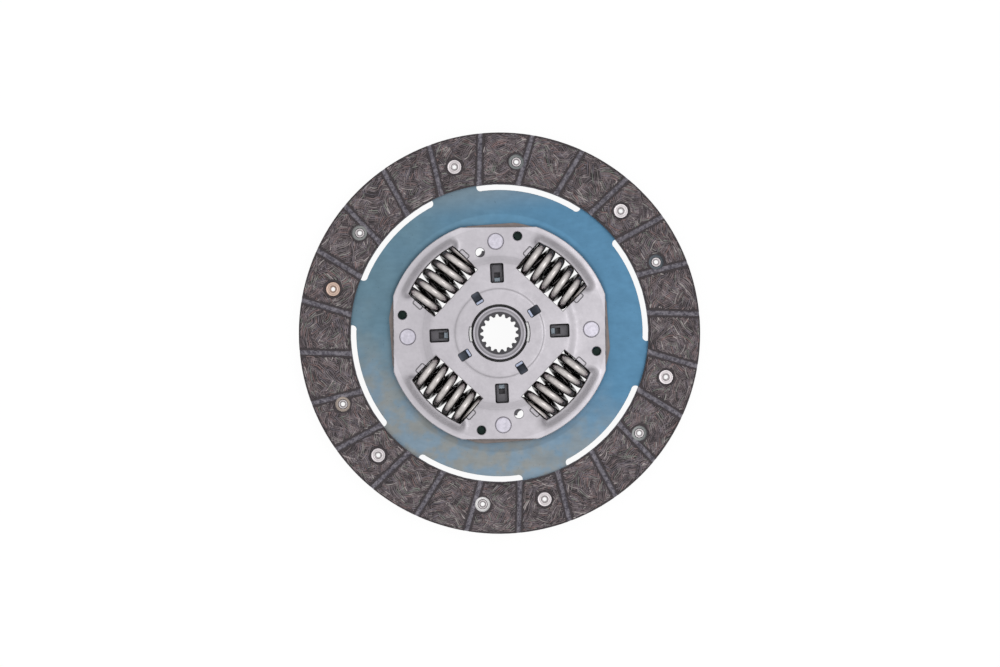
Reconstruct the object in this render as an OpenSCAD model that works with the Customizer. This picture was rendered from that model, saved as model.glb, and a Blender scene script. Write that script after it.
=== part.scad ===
// Dry clutch friction disc with a spring-cushioned hub.
// The gearbox side faces +Z. The origin is on the axis, midway between the two friction faces.
// Angles run anticlockwise from +X, as seen from +Z. All lengths are in millimetres.

/* [Friction facings] */
// Outer diameter of both facings
facing_d = 215; // [208:1:224]
// Inner diameter of both facings
facing_bore_d = 160; // [154:1:164]
// Thickness of one facing
facing_t = 3.4; // [3:0.1:4]
// Number of grooves across each facing
groove_count = 24; // [12:12:36]
// Width of a groove at the rim
groove_w = 2.4; // [1.6:0.1:3.2]
// Width of a groove at the inner edge
groove_inner_w = 2.9; // [1.6:0.1:3.6]
// Depth of a groove
groove_depth = 1; // [0.6:0.1:1.4]
// Distance by which a groove's line misses the axis
groove_offset = 12.9; // [6:0.1:18]
// Angle at which the first groove meets the rim
groove_start = 5.5; // [0:0.1:14]

/* [Facing rivets] */
// Distance from the middle of the facing's width in to the rivet circle
rivet_shift = 1.45; // [0:0.05:2]
// Number of rivets that hold each facing
rivet_count = 6; // [6:1:6]
// Angle of the first rivet with its head at the front
front_rivet_angle = 45.2; // [42:0.1:48]
// Angle of the first rivet with its head at the rear
rear_rivet_angle = 24.4; // [22:0.1:27]
// Diameter of a rivet head
rivet_head_d = 8; // [7:0.1:8.6]
// Thickness of a rivet head
rivet_head_t = 0.9; // [0.7:0.1:1.2]
// Gap round a rivet head in its hole
rivet_head_gap = 0.1; // [0.1:0.05:0.3]
// Diameter of a rivet shank
rivet_shank_d = 4.2; // [3.8:0.1:4.6]
// Bore of the tubular rivet
rivet_bore_d = 2.2; // [1.6:0.1:2.6]
// Diameter of the rolled rivet end
rivet_curl_d = 5.4; // [5:0.1:6]
// Height of the rolled rivet end
rivet_curl_t = 0.6; // [0.4:0.05:0.7]
// Facing material left under a rivet head
rivet_ledge_t = 1.3; // [1:0.1:1.6]

/* [Cushion disc] */
// Thickness of the spring steel sheet
cushion_t = 0.8; // [0.7:0.05:1]
// Height of the wave, to each side of the sheet's plane
cushion_wave = 0.4; // [0.3:0.05:0.6]
// Width of the open crescents inside the facings
crescent_w = 3.1; // [2:0.1:4]
// Radius of a crescent's round end
crescent_end_r = 2.2; // [1.5:0.1:2.6]
// Angle of the first neck
neck_angle = 48; // [46:0.1:50]
// Angle that one neck spans
neck_span = 18.1; // [14:0.1:22]
// Angle that one paddle spans
paddle_span = 53; // [51:0.5:55]
// Angle from the neck's middle to the paddle's middle
paddle_shift = -2.6; // [-4:0.1:-1]
// Distance from a paddle's outer edge to the facing's rim
paddle_rim = 4; // [3:0.1:6]
// Distance from a paddle's inner edge to the facing's inner edge
paddle_inset = 1.5; // [1:0.1:2]
// Chamfer of a paddle's corners
paddle_corner = 4; // [2:0.5:6]
// Half the width of the flat land round a rivet
pad_half_w = 6; // [5.5:0.1:7]
// Sheet between a stop pin's hole and the spring window
lobe_margin = 1.5; // [1:0.1:2]
// Half the angle that the lobe round a stop pin spans
lobe_half_angle = 16; // [14:0.5:18]

/* [Side plates] */
// Thickness of both side plates
plate_t = 2.2; // [2:0.1:2.5]
// Space between the cushion disc and the front plate
plate_gap = 7.65; // [7.4:0.05:8.2]
// Radius of the hole in the front plate
plate_hole_r = 15.15; // [15:0.05:15.4]
// Depth of the flats below the round edge
flat_cut = 3.5; // [2.5:0.1:4]
// Angle from the stop pins to the front plate's flats
flat_turn = -1.9; // [-4:0.1:4]
// Height of the raised ring round the hub in the front plate
ring_rise = 1.6; // [1.4:0.1:2]
// Height of the centre above that ring
centre_rise = 0.5; // [0.3:0.1:0.8]
// Depth of the dished ring in the rear plate
rear_rise = 1; // [0.8:0.1:1.4]
// Middle radius of the step round the centre
centre_step_r = 23.7; // [23:0.1:24.5]
// Width of that step
centre_step_w = 0.8; // [0.6:0.1:1.2]
// Inner radius of the slope from the ring to the pin pads
slope_inner_r = 37.4; // [37.2:0.1:38]
// Outer radius of that slope
slope_outer_r = 41.1; // [40:0.1:42]
// Chamfer along the flats and the round edge
plate_chamfer = 0.35; // [0.2:0.05:0.5]

/* [Spring windows] */
// Distance by which a spring reaches under the straight inner edge
window_inner_lap = 0.9; // [0.7:0.05:1]
// Distance by which a spring reaches under the middle of the arched outer edge
window_outer_lap = 0.3; // [0.1:0.05:0.4]
// Clearance at each end of a spring
window_end_gap = 0.1; // [0.1:0.05:0.3]
// Angle by which each end of a window leans outward
window_end_lean = 1.4; // [0:0.1:2]
// Width of the formed lip outside a window
lip_w = 4.5; // [4:0.1:5]
// Height of the formed lip
lip_h = 3.8; // [3.8:0.1:4.1]
// Width of the lip's level crest
lip_crest_w = 0.7; // [0.4:0.1:1]
// Width of the flat rim outside the lip
rim_w = 2.8; // [2.4:0.1:3.4]
// Angle from the window's middle to the lip's end
lip_half_angle = 22.7; // [22:0.1:23.4]
// Length of the slope at a lip's end
lip_ramp_w = 3.2; // [3:0.1:3.4]
// Length of the coined pads beside a window
coin_l = 5.5; // [4:0.1:6]
// Width of a coined pad
coin_w = 2.2; // [1.6:0.1:2.4]
// Height of a coined pad
coin_h = 0.35; // [0.2:0.05:0.5]
// Distance from the axis to a coined pad
coin_inner_r = 43.2; // [42.6:0.1:43.4]

/* [Damper springs] */
// Radius at which the springs' axes lie
spring_circle_r = 41.9; // [41.6:0.1:42.4]
// Outer diameter of an outer spring
spring_d = 22.4; // [22:0.1:22.5]
// Wire of an outer spring
spring_wire = 4.4; // [4:0.1:4.5]
// Length of the springs
spring_length = 33.8; // [33:0.1:34.2]
// Open turns of an outer spring
spring_open_turns = 3.6; // [3:0.1:3.7]
// Outer diameter of an inner spring
inner_spring_d = 11.2; // [10.4:0.1:11.4]
// Wire of an inner spring
inner_spring_wire = 2.4; // [2:0.1:2.8]
// Open turns of an inner spring
inner_spring_open_turns = 5.8; // [5:0.1:6]
// Closed turns at each end of a spring
closed_turns = 1.25; // [1:0.05:1.4]
// Distance between closed turns, in wire thicknesses
closed_lead = 1.03; // [1.02:0.01:1.08]
// Thickness left at the ground tip, in wire thicknesses
tip_share = 0.18; // [0.14:0.02:0.3]
// Turn of each outer spring about its own axis
spring_turns = [26, 47, -47, 62];

/* [Hub] */
// Angle of the stop pins, the hub flange and all that goes with them
damper_angle = 2.4; // [0:0.1:5]
// Number of spline teeth
spline_teeth = 17; // [17:1:17]
// Radius over the tips of the spline teeth
spline_minor_r = 8.75; // [8.6:0.05:8.9]
// Radius at the bottom of the spline grooves
spline_major_r = 10.25; // [10.1:0.05:10.4]
// Width of a spline groove at the tooth tips
spline_groove_w = 2.2; // [2:0.05:2.3]
// Width of a spline groove at its bottom
spline_floor_w = 0.9; // [0.7:0.05:1.2]
// Bulge of a groove's flanks
flank_bulge = 0.05; // [0.03:0.01:0.1]
// Angle of the first spline tooth
spline_angle = 3; // [0:0.1:20]
// Radius of the hub's ends
hub_r = 14.45; // [14.2:0.05:14.5]
// Radius of the chamfered mouth
hub_mouth_r = 11.3; // [11:0.1:11.8]
// Height of the front end above the friction mid-plane
hub_front_z = 14; // [13.4:0.1:15]
// Depth of the rear end below the friction mid-plane
hub_rear_z = 7.5; // [7.2:0.1:9]
// Chamfer round both ends of the hub
hub_chamfer = 0.9; // [0.5:0.1:1.2]
// Number of teeth that carry the flange
drive_teeth = 24; // [18:6:24]
// Radius at the root of those teeth
drive_root_r = 16.5; // [16:0.1:16.8]
// Radius over those teeth
drive_tip_r = 18; // [17.8:0.1:18.4]
// Width of such a tooth at its root
drive_root_w = 2.3; // [2:0.1:2.5]
// Width of such a tooth at its tip
drive_tip_w = 1.5; // [1.2:0.1:1.8]

/* [Hub flange] */
// Thickness of the flange
flange_t = 4; // [3.8:0.1:4.2]
// Distance from the flange's round edge to that of the side plates
flange_inset = 0.5; // [0.3:0.1:1]
// Depth of the flange's flats
flange_flat_cut = 1.3; // [0.8:0.1:2]
// Angle from the stop pins to the flange's flats
flange_flat_turn = 2; // [0:0.1:4]
// Clearance between an outer spring and the sides of its opening
flange_window_gap = 0.45; // [0.3:0.05:0.7]
// Angle that the hub turns each way
twist = 7.5; // [6:0.5:8]
// Radius of the relief under a through hole
relief_r = 2.8; // [2.6:0.1:3.2]
// Distance from the through hole outward to the relief's middle
relief_shift = 1.4; // [1.2:0.1:1.8]
// Angle from the through hole to the relief's middle
relief_turn = 2; // [1.6:0.1:2.4]

/* [Stop pins] */
// Radius of the circle of stop pins
pin_circle_r = 49; // [48.6:0.1:49.4]
// Diameter of a pin between the plates
pin_d = 7.6; // [7:0.1:8]
// Diameter of a pin's ends in the plates
pin_end_d = 5.6; // [5:0.1:6]
// Diameter of a pin's heads
pin_head_d = 8.3; // [7.8:0.1:8.6]
// Height of a pin's heads
pin_head_t = 0.9; // [0.6:0.1:1.2]
// Chamfer of the heads
pin_head_chamfer = 0.35; // [0.2:0.05:0.5]
// Spare angle between a pin and the end of its slot at full twist
slot_spare = 0.5; // [0.3:0.1:1]
// Gap between a pin and the sides of its slot
slot_gap = 0.4; // [0.3:0.05:0.6]

/* [Plate holes] */
// Diameter of the round gauge holes
gauge_hole_d = 4.8; // [4:0.1:5.2]
// Radius at which the blind gauge holes lie
gauge_r = 52.7; // [52:0.1:53]
// Angle from a stop pin to its blind gauge hole
gauge_turn = -12.9; // [-14:0.1:-12]
// Radius at which the two through gauge holes lie
through_r = 44.3; // [44:0.1:45]
// Angle from a stop pin to its through hole
through_turn = 11.2; // [10.5:0.1:12]
// Extra width of the through holes below the front plate
through_extra = 0.6; // [0.4:0.1:1]
// Inner radius of the large slots
large_slot_r = 27.1; // [27:0.1:27.4]
// Length of the large slots
large_slot_l = 10; // [8:0.1:10]
// Width of the large slots
large_slot_w = 6.7; // [6:0.1:7]
// Inner radius of the small slots
small_slot_r = 18.8; // [18.8:0.1:19]
// Length of the small slots
small_slot_l = 6.1; // [5.5:0.1:6.4]
// Width of the small slots
small_slot_w = 4.4; // [4.2:0.1:4.8]
// Angle from a stop pin to a small slot
small_slot_turn = 30.1; // [29:0.1:31]

/* [Friction parts] */
// Thickness of the front friction washer
washer_t = 1.2; // [1:0.1:1.4]
// Thickness of the support ring
support_t = 0.8; // [0.6:0.1:1]
// Thickness of the support ring's tabs
tab_t = 1.2; // [1:0.1:1.3]
// Width of the support ring's tabs
tab_w = 4; // [3.6:0.1:4]
// Height by which the tabs reach into the front plate
tab_reach = 1.2; // [0.8:0.1:1.6]
// Width of the diaphragm spring, from its outer edge to its bore
diaphragm_w = 5.7; // [5.3:0.1:5.8]
// Thickness of the diaphragm spring
diaphragm_t = 0.6; // [0.5:0.05:0.7]
// Gap between the support ring's tabs and the bush, and between them and the diaphragm spring
tab_gap = 0.5; // [0.4:0.05:0.6]
// Height of the bush's lugs in the notches
bush_lug_h = 1.5; // [1:0.1:2]
// Depth of the notches for the bush's lugs
notch_depth = 1.1; // [0.8:0.1:1.4]
// Half the angle that the wide notch spans
wide_notch = 19.5; // [16:0.5:22]
// Half the angle that the narrow notch spans
narrow_notch = 14.5; // [12:0.5:16]
// Rim of the rear friction ring beyond its lugs
rear_ring_rim = 0.45; // [0.3:0.05:0.6]
// Radius of the rear ring's collar
collar_r = 16.9; // [16.4:0.1:17.4]
// Radial depth of the rear ring's lugs
lug_l = 2.3; // [2:0.1:2.5]
// Width of the rear ring's lugs
lug_w = 3; // [2.6:0.1:3.4]
// Height by which the lugs stand out of the flange
lug_reach = 0.4; // [0.2:0.1:0.6]
// Length of the flange slots that the lugs pass through
lug_slot_l = 5.4; // [4:0.1:5.6]

/* [Clearances] */
// Gap round a fixed pin, rivet or tooth
fit_gap = 0.06; // [0.04:0.01:0.12]
// Gap between turning parts and the hub
running_gap = 0.15; // [0.1:0.01:0.25]
// Gap between loose parts that lie side by side
side_gap = 0.3; // [0.2:0.05:0.4]
// Gap round a lug in its slot
lug_gap = 0.15; // [0.1:0.05:0.25]

/* [Hidden] */
$fn = 96;
facing_r = facing_d / 2;
facing_bore_r = facing_bore_d / 2;
facing_inner_z = cushion_t / 2 + cushion_wave;
groove_bearing = groove_start - asin(groove_offset / facing_r);
rivet_circle_r = (facing_r + facing_bore_r) / 2 - rivet_shift;
counterbore_r = rivet_head_d / 2 + rivet_head_gap;
rear_turn = -(front_rivet_angle + rear_rivet_angle);

cushion_top_z = cushion_t / 2;
cushion_edge_r = facing_bore_r - crescent_w;
paddle_pitch = 360 / rivet_count;
// The crescents' round ends cross the disc's and the necks' edges by a hair, and don't just touch.
end_lap = 0.1;
paddle_inner_r = facing_bore_r + paddle_inset;
paddle_outer_r = facing_r - paddle_rim;
paddle_angle = neck_angle + paddle_shift;

window_angle = damper_angle + 45;
spring_r = spring_d / 2;
spring_z = cushion_top_z + plate_gap / 2;
window_inner_x = spring_circle_r - spring_r + window_inner_lap;
window_outer_r = spring_circle_r + spring_r - window_outer_lap;
window_half_l = spring_length / 2 + window_end_gap;
lip_outer_r = window_outer_r + lip_w;
lip_crest_r = window_outer_r + lip_crest_w;
lip_foot_x = window_outer_r - 2 * lip_ramp_w;
plate_r = lip_outer_r + rim_w;
flat_x = plate_r - flat_cut;

cover_z = cushion_top_z + plate_gap;
drive_z = -cushion_t / 2;
flange_z = spring_z - flange_t / 2;
flange_top_z = spring_z + flange_t / 2;
flange_r = plate_r - flange_inset;
flange_window_x0 = spring_circle_r - spring_r - flange_window_gap;
flange_window_x1 = spring_circle_r + spring_r + flange_window_gap;
slot_half_w = pin_d / 2 + slot_gap;
slot_turn = twist + slot_spare;

// The cushion disc clears the far corners of the springs.
cushion_window_r = norm([spring_circle_r + spring_r, spring_length / 2]) + side_gap;
lobe_inner_r = pin_circle_r - pin_end_d / 2 - lobe_margin;

pin_end_r = pin_end_d / 2;
washer_z = flange_top_z;
support_z = washer_z + washer_t;
stack_z = support_z + support_t;
ring_under_z = cover_z + ring_rise;
centre_under_z = ring_under_z + centre_rise;
tab_r = small_slot_r + lug_gap;
tab_top_z = centre_under_z + tab_reach;
notch_r = plate_hole_r + notch_depth;
rear_ring_z = drive_z - rear_rise;
rear_ring_r = large_slot_r + lug_gap + lug_l + rear_ring_rim;
hub_bush_r = hub_r + running_gap;
washer_bore_r = hub_bush_r + side_gap;
bush_r = tab_r - tab_gap;
diaphragm_r = norm([tab_r + tab_t, tab_w / 2]) + tab_gap;
washer_r = diaphragm_r + diaphragm_w;
spring_steps = 18;
spring_sides = 8;
inner_spring_steps = 14;
inner_spring_sides = 6;

function polar(r, a) = [r * cos(a), r * sin(a)];

// Flat ring of height h that stands on z = 0.
module ring(r_out, r_in, h) {
    linear_extrude(h) difference() {
        circle(r = r_out);
        circle(r = r_in);
    }
}

// Wedge from the axis outward, between two angles less than 150 degrees apart.
module wedge_2d(r, a0, a1) {
    far = 2 * r;
    polygon([[0, 0], polar(far, a0), polar(2 * far, (a0 + a1) / 2), polar(far, a1)]);
}

// Piece of a flat ring between two angles.
module sector_2d(r_in, r_out, a0, a1) {
    intersection() {
        difference() {
            circle(r = r_out);
            circle(r = r_in);
        }
        wedge_2d(r_out, a0, a1);
    }
}

// Everything four times round the axis, at the stop pins' angles.
module four_times() {
    for (k = [0:3]) rotate(damper_angle + 90 * k) children();
}

// Everything four times round the axis, at the windows' angles.
module at_windows() {
    for (k = [0:3]) rotate(window_angle + 90 * k) children();
}

// One friction facing. It lies on z = 0 with its friction face up.
module facing_blank() {
    difference() {
        ring(facing_r, facing_bore_r, facing_t);
        for (k = [0:groove_count - 1])
            rotate(groove_bearing + 360 / groove_count * k)
                translate([0, groove_offset, facing_t - groove_depth])
                    linear_extrude(facing_t) groove_2d();
        translate([0, 0, -facing_t]) linear_extrude(3 * facing_t) {
            rivet_holes_2d(front_rivet_angle, rivet_shank_d / 2 + fit_gap);
            rivet_holes_2d(rear_rivet_angle, counterbore_r);
        }
        translate([0, 0, rivet_ledge_t]) linear_extrude(facing_t)
            rivet_holes_2d(front_rivet_angle, counterbore_r);
    }
}

// Circle of rivet holes, the first at angle a.
module rivet_holes_2d(a, r) {
    for (k = [0:rivet_count - 1]) rotate(a + 360 / rivet_count * k)
        translate([rivet_circle_r, 0]) circle(r = r);
}

// Groove outline along +X, a little wider at the inner edge.
module groove_2d() {
    start = facing_bore_r - groove_offset;
    flare = facing_bore_r + groove_w;
    half_in = groove_inner_w / 2;
    half_out = groove_w / 2;
    polygon([[start, -half_in], [facing_bore_r, -half_in], [flare, -half_out],
        [facing_r, -half_out], [facing_r, half_out], [flare, half_out],
        [facing_bore_r, half_in], [start, half_in]]);
}

module facing_front() {
    color("#5c544c") translate([0, 0, facing_inner_z]) facing_blank();
}

// The rear facing is the same part, turned over.
module facing_rear() {
    color("#5c544c") rotate([180, 0, 0]) rotate(rear_turn)
        translate([0, 0, facing_inner_z]) facing_blank();
}

// Tubular rivet with its head up. z = 0 is the middle of the cushion disc.
module rivet() {
    head_z = facing_inner_z + rivet_ledge_t;
    pad_z = cushion_wave - cushion_t / 2;
    edge = rivet_head_t / 3;
    rotate_extrude() polygon([
        [rivet_bore_d / 2, pad_z - rivet_curl_t],
        [rivet_curl_d / 2 - edge, pad_z - rivet_curl_t],
        [rivet_curl_d / 2, pad_z - rivet_curl_t + edge],
        [rivet_curl_d / 2, pad_z],
        [rivet_shank_d / 2, pad_z],
        [rivet_shank_d / 2, head_z],
        [rivet_head_d / 2, head_z],
        [rivet_head_d / 2, head_z + rivet_head_t - edge],
        [rivet_head_d / 2 - edge, head_z + rivet_head_t],
        [rivet_head_d / 4 + edge, head_z + rivet_head_t],
        [rivet_bore_d / 2 + edge, head_z + rivet_head_t - edge],
        [rivet_bore_d / 2, head_z + rivet_head_t - 2 * edge]]);
}

module rivet_group() {
    for (k = [0:rivet_count - 1])
        rotate(front_rivet_angle + 360 / rivet_count * k) translate([rivet_circle_r, 0, 0]) rivet();
}

module facing_rivets_front() {
    color("#c9b3a8") rivet_group();
}

module facing_rivets_rear() {
    color("#c9b3a8") rotate([180, 0, 0]) rotate(rear_turn) rivet_group();
}

// Flat part of the cushion disc: a ring with six necks and four inward lobes at the pins.
module cushion_body_2d() {
    half = neck_span / 2;
    end_r = cushion_edge_r + crescent_end_r;
    end_turn = asin(crescent_end_r / end_r);
    lap_turn = asin(end_lap / end_r);
    difference() {
        union() {
            circle(r = cushion_edge_r);
            for (k = [0:rivet_count - 1]) rotate(neck_angle + paddle_pitch * k) {
                sector_2d(cushion_window_r, paddle_inner_r + cushion_t, -half, half);
                sector_2d(cushion_window_r, end_r, -half - end_turn, half + end_turn);
            }
        }
        for (k = [0:rivet_count - 1], side = [-1, 1])
            rotate(neck_angle + paddle_pitch * k + side * (half + end_turn - lap_turn))
                translate([end_r - end_lap, 0]) circle(r = crescent_end_r);
        difference() {
            circle(r = cushion_window_r);
            four_times() sector_2d(lobe_inner_r, 2 * cushion_window_r,
                -lobe_half_angle, lobe_half_angle);
        }
        four_times() translate([pin_circle_r, 0]) circle(r = pin_end_r + fit_gap);
        through_holes_2d(through_extra);
    }
}

// Cross-section of a paddle, along its width. Its lands touch the two facings by turns.
module paddle_wave_2d(end) {
    front_t = rivet_circle_r * sin(front_rivet_angle - paddle_angle);
    rear_t = rivet_circle_r * sin(rear_rivet_angle - paddle_angle);
    line = [[-end, -1], [rear_t + pad_half_w, -1], [front_t - pad_half_w, 1],
        [front_t + pad_half_w, 1], [end, -1]];
    half = cushion_t / 2;
    polygon([for (p = line) [p[0], p[1] * cushion_wave - half],
        for (i = [len(line) - 1:-1:0]) [line[i][0], line[i][1] * cushion_wave + half]]);
}

// Outline of a paddle along +X: a ring sector whose corners are cut off.
module paddle_2d() {
    half = paddle_span / 2;
    inner = polar(paddle_inner_r + paddle_corner, half);
    outer = polar(paddle_outer_r - paddle_corner, half);
    start = polar(paddle_inner_r, half - asin(paddle_corner / paddle_inner_r));
    stop = polar(paddle_outer_r, half - asin(paddle_corner / paddle_outer_r));
    // The cuts at the corners run on past the two arcs.
    edge = [start + (start - inner) / 2, inner, outer, stop + (stop - outer) / 2];
    intersection() {
        difference() {
            circle(r = paddle_outer_r);
            circle(r = paddle_inner_r);
        }
        polygon([each edge, [2 * paddle_outer_r, 0], for (i = [3:-1:0]) [edge[i][0], -edge[i][1]]]);
    }
}

module paddle() {
    tall = 4 * (cushion_t + cushion_wave);
    reach = paddle_outer_r * sin(paddle_span / 2) + cushion_t;
    intersection() {
        rotate([90, 0, 90]) linear_extrude(paddle_outer_r + cushion_t) paddle_wave_2d(reach);
        translate([0, 0, -tall / 2]) linear_extrude(tall) paddle_2d();
    }
}

module cushion_disc() {
    tall = 4 * (cushion_t + cushion_wave);
    color("#4f83a4") difference() {
        union() {
            translate([0, 0, -cushion_t / 2]) linear_extrude(cushion_t) cushion_body_2d();
            for (k = [0:rivet_count - 1]) rotate(paddle_angle + paddle_pitch * k) paddle();
        }
        for (k = [0:rivet_count - 1], a = [front_rivet_angle, rear_rivet_angle])
            rotate(a + paddle_pitch * k) translate([rivet_circle_r, 0, -tall / 2])
                cylinder(r = rivet_shank_d / 2 + fit_gap, h = tall);
    }
}

// The two gauge holes that go right through the plates.
module through_holes_2d(extra) {
    for (k = [1, 3]) rotate(damper_angle + through_turn + 90 * k)
        translate([through_r, 0]) circle(d = gauge_hole_d + extra);
}

// Opening for one spring in a side plate, along +X.
module window_2d() {
    far = 2 * window_outer_r;
    spread = tan(window_end_lean);
    half_out = window_half_l + (far - window_inner_x) * spread;
    intersection() {
        polygon([[window_inner_x, -window_half_l], [far, -half_out],
            [far, half_out], [window_inner_x, window_half_l]]);
        circle(r = window_outer_r);
    }
}

// Half-space below a slope that starts at the X axis and climbs towards -Y.
module below_ramp(steep, size) {
    rotate([-steep, 0, 0]) translate([-size, -size, -size]) cube([2 * size, 2 * size, size]);
}

// Solid under the lip of one window, along +X, from z = -deep up to the formed surface.
module lip_form(deep) {
    size = 2 * plate_r;
    steep = atan(lip_h / lip_ramp_w);
    intersection() {
        rotate_extrude() polygon([[0, -deep], [lip_outer_r, -deep], [lip_outer_r, 0],
            [lip_crest_r, lip_h], [0, lip_h]]);
        rotate(lip_half_angle) below_ramp(steep, size);
        mirror([0, 1, 0]) rotate(lip_half_angle) below_ramp(steep, size);
        translate([lip_foot_x, 0, 0]) rotate(90) below_ramp(steep, size);
        translate([lip_foot_x, -plate_r, -2 * deep]) cube([plate_r, 2 * plate_r, 4 * deep]);
    }
}

// Solid under a side plate's surface: the dished ring, the centre and the four lips.
module plate_form(rise, centre) {
    deep = 2 * plate_t;
    rotate_extrude() polygon([[0, -deep], [plate_r, -deep], [plate_r, 0], [slope_outer_r, 0],
        [slope_inner_r, rise], [centre_step_r + centre_step_w / 2, rise],
        [centre_step_r - centre_step_w / 2, rise + centre], [0, rise + centre]]);
    at_windows() lip_form(deep);
}

// Pressed plate that lies with the inside of its pin pads on z = 0 and bulges towards +Z.
module side_plate(rise, centre, turn, hole_r) {
    tall = 4 * (plate_t + rise + centre + lip_h);
    nick = plate_chamfer;
    difference() {
        union() {
            difference() {
                translate([0, 0, plate_t]) plate_form(rise, centre);
                plate_form(rise, centre);
            }
            at_windows() coined_pads();
        }
        translate([0, 0, -tall / 2]) linear_extrude(tall) {
            at_windows() window_2d();
            circle(r = hole_r);
            four_times() translate([pin_circle_r, 0]) circle(r = pin_end_r + fit_gap);
        }
        for (k = [0:3]) rotate(damper_angle + turn + 90 * k) {
            translate([flat_x, -plate_r, -tall / 2]) cube([plate_r, 2 * plate_r, tall]);
            translate([flat_x, 0, plate_t]) rotate([0, 45, 0])
                cube([nick * sqrt(2), 2 * plate_r, nick * sqrt(2)], center = true);
        }
        translate([0, 0, plate_t - nick]) rotate_extrude() polygon([[plate_r, 0],
            [plate_r + nick, 0], [plate_r + nick, 2 * nick], [plate_r - nick, 2 * nick],
            [plate_r - nick, nick]]);
    }
}

// Raised pads beside both ends of a window, along +X.
module coined_pads() {
    y = window_half_l + (coin_inner_r - window_inner_x) * tan(window_end_lean);
    x = sqrt(coin_inner_r * coin_inner_r - y * y);
    for (side = [0, 1]) mirror([0, side, 0]) translate([x, y, plate_t / 2])
        cube([coin_l, coin_w, plate_t / 2 + coin_h]);
}

module cover_plate() {
    tall = 20 * plate_t;
    color("#c9c5c6") translate([0, 0, cover_z]) difference() {
        side_plate(ring_rise, centre_rise, flat_turn, plate_hole_r);
        translate([0, 0, -tall / 2]) linear_extrude(tall) {
            through_holes_2d(0);
            four_times() {
                rotate(gauge_turn) translate([gauge_r, 0]) circle(d = gauge_hole_d);
                translate([large_slot_r, -large_slot_w / 2]) square([large_slot_l, large_slot_w]);
                rotate(small_slot_turn) translate([small_slot_r, -small_slot_w / 2])
                    square([small_slot_l, small_slot_w]);
            }
            notches_2d(0);
        }
    }
}

// The two notches beside the hub, or with a margin the lugs that fill them.
module notches_2d(margin) {
    trim = asin(margin / notch_r);
    for (notch = [[0, wide_notch], [180, narrow_notch]]) rotate(damper_angle + notch[0])
        sector_2d(drive_root_r - drive_tip_w, notch_r - margin, -notch[1] + trim, notch[1] - trim);
}

// The rear plate is pressed in the same tool and faces the other way.
module drive_plate() {
    tall = 20 * plate_t;
    color("#b9b4b2") translate([0, 0, drive_z]) mirror([0, 0, 1]) difference() {
        side_plate(rear_rise, 0, -flat_turn, collar_r + running_gap);
        translate([0, 0, -tall / 2]) linear_extrude(tall) through_holes_2d(through_extra);
    }
}

// Outline of the teeth between the hub and its flange.
module drive_teeth_2d(grow) {
    start = drive_root_r - drive_tip_w;
    root = drive_root_w / 2 + grow;
    tip = drive_tip_w / 2 + grow;
    circle(r = drive_root_r + grow);
    for (k = [0:drive_teeth - 1]) rotate(360 / drive_teeth * k)
        polygon([[start, -root], [drive_tip_r + grow, -tip], [drive_tip_r + grow, tip], [start, root]]);
}

// Slot for one stop pin, along +X.
module pin_slot_2d() {
    sector_2d(pin_circle_r - slot_half_w, pin_circle_r + slot_half_w, -slot_turn, slot_turn);
    for (side = [-1, 1]) translate(polar(pin_circle_r, side * slot_turn)) circle(r = slot_half_w);
}

module hub_flange() {
    half = spring_length / 2 + window_end_gap;
    color("#8f8580") translate([0, 0, flange_z]) linear_extrude(flange_t) difference() {
        circle(r = flange_r);
        for (k = [0:3]) rotate(damper_angle + flange_flat_turn + 90 * k)
            translate([flange_r - flange_flat_cut, -flange_r]) square([flange_r, 2 * flange_r]);
        at_windows() translate([flange_window_x0, -half])
            square([flange_window_x1 - flange_window_x0, 2 * half]);
        four_times() {
            pin_slot_2d();
            translate([large_slot_r, -lug_w / 2 - lug_gap]) square([lug_slot_l, lug_w + 2 * lug_gap]);
        }
        for (k = [1, 3]) rotate(damper_angle + 90 * k)
            translate(polar(through_r + relief_shift, through_turn + relief_turn))
                circle(r = relief_r);
        rotate(damper_angle) drive_teeth_2d(fit_gap);
    }
}

// Void of the splined bore.
module spline_2d() {
    mid_r = (spline_minor_r + spline_major_r) / 2;
    mid_half = (spline_groove_w + spline_floor_w) / 4 + flank_bulge;
    start = spline_minor_r / 2;
    circle(r = spline_minor_r);
    for (k = [0:spline_teeth - 1]) rotate(spline_angle + 360 / spline_teeth * (k + 0.5))
        polygon([[start, -spline_groove_w / 2], [spline_minor_r, -spline_groove_w / 2],
            [mid_r, -mid_half], [spline_major_r, -spline_floor_w / 2],
            [spline_major_r, spline_floor_w / 2], [mid_r, mid_half],
            [spline_minor_r, spline_groove_w / 2], [start, spline_groove_w / 2]]);
}

module hub() {
    mouth = hub_mouth_r - spline_minor_r;
    c = hub_chamfer;
    color("#8d8a88") difference() {
        union() {
            rotate_extrude() polygon([[0, -hub_rear_z], [hub_r - c, -hub_rear_z],
                [hub_r, -hub_rear_z + c], [hub_r, hub_front_z - c],
                [hub_r - c, hub_front_z], [0, hub_front_z]]);
            translate([0, 0, flange_z]) linear_extrude(flange_t) rotate(damper_angle)
                drive_teeth_2d(0);
        }
        translate([0, 0, -2 * hub_rear_z]) linear_extrude(2 * (hub_rear_z + hub_front_z)) spline_2d();
        translate([0, 0, hub_front_z - mouth])
            cylinder(r1 = spline_minor_r, r2 = hub_mouth_r + mouth, h = 2 * mouth);
        translate([0, 0, -hub_rear_z - mouth])
            cylinder(r1 = hub_mouth_r + mouth, r2 = spline_minor_r, h = 2 * mouth);
    }
}

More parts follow.
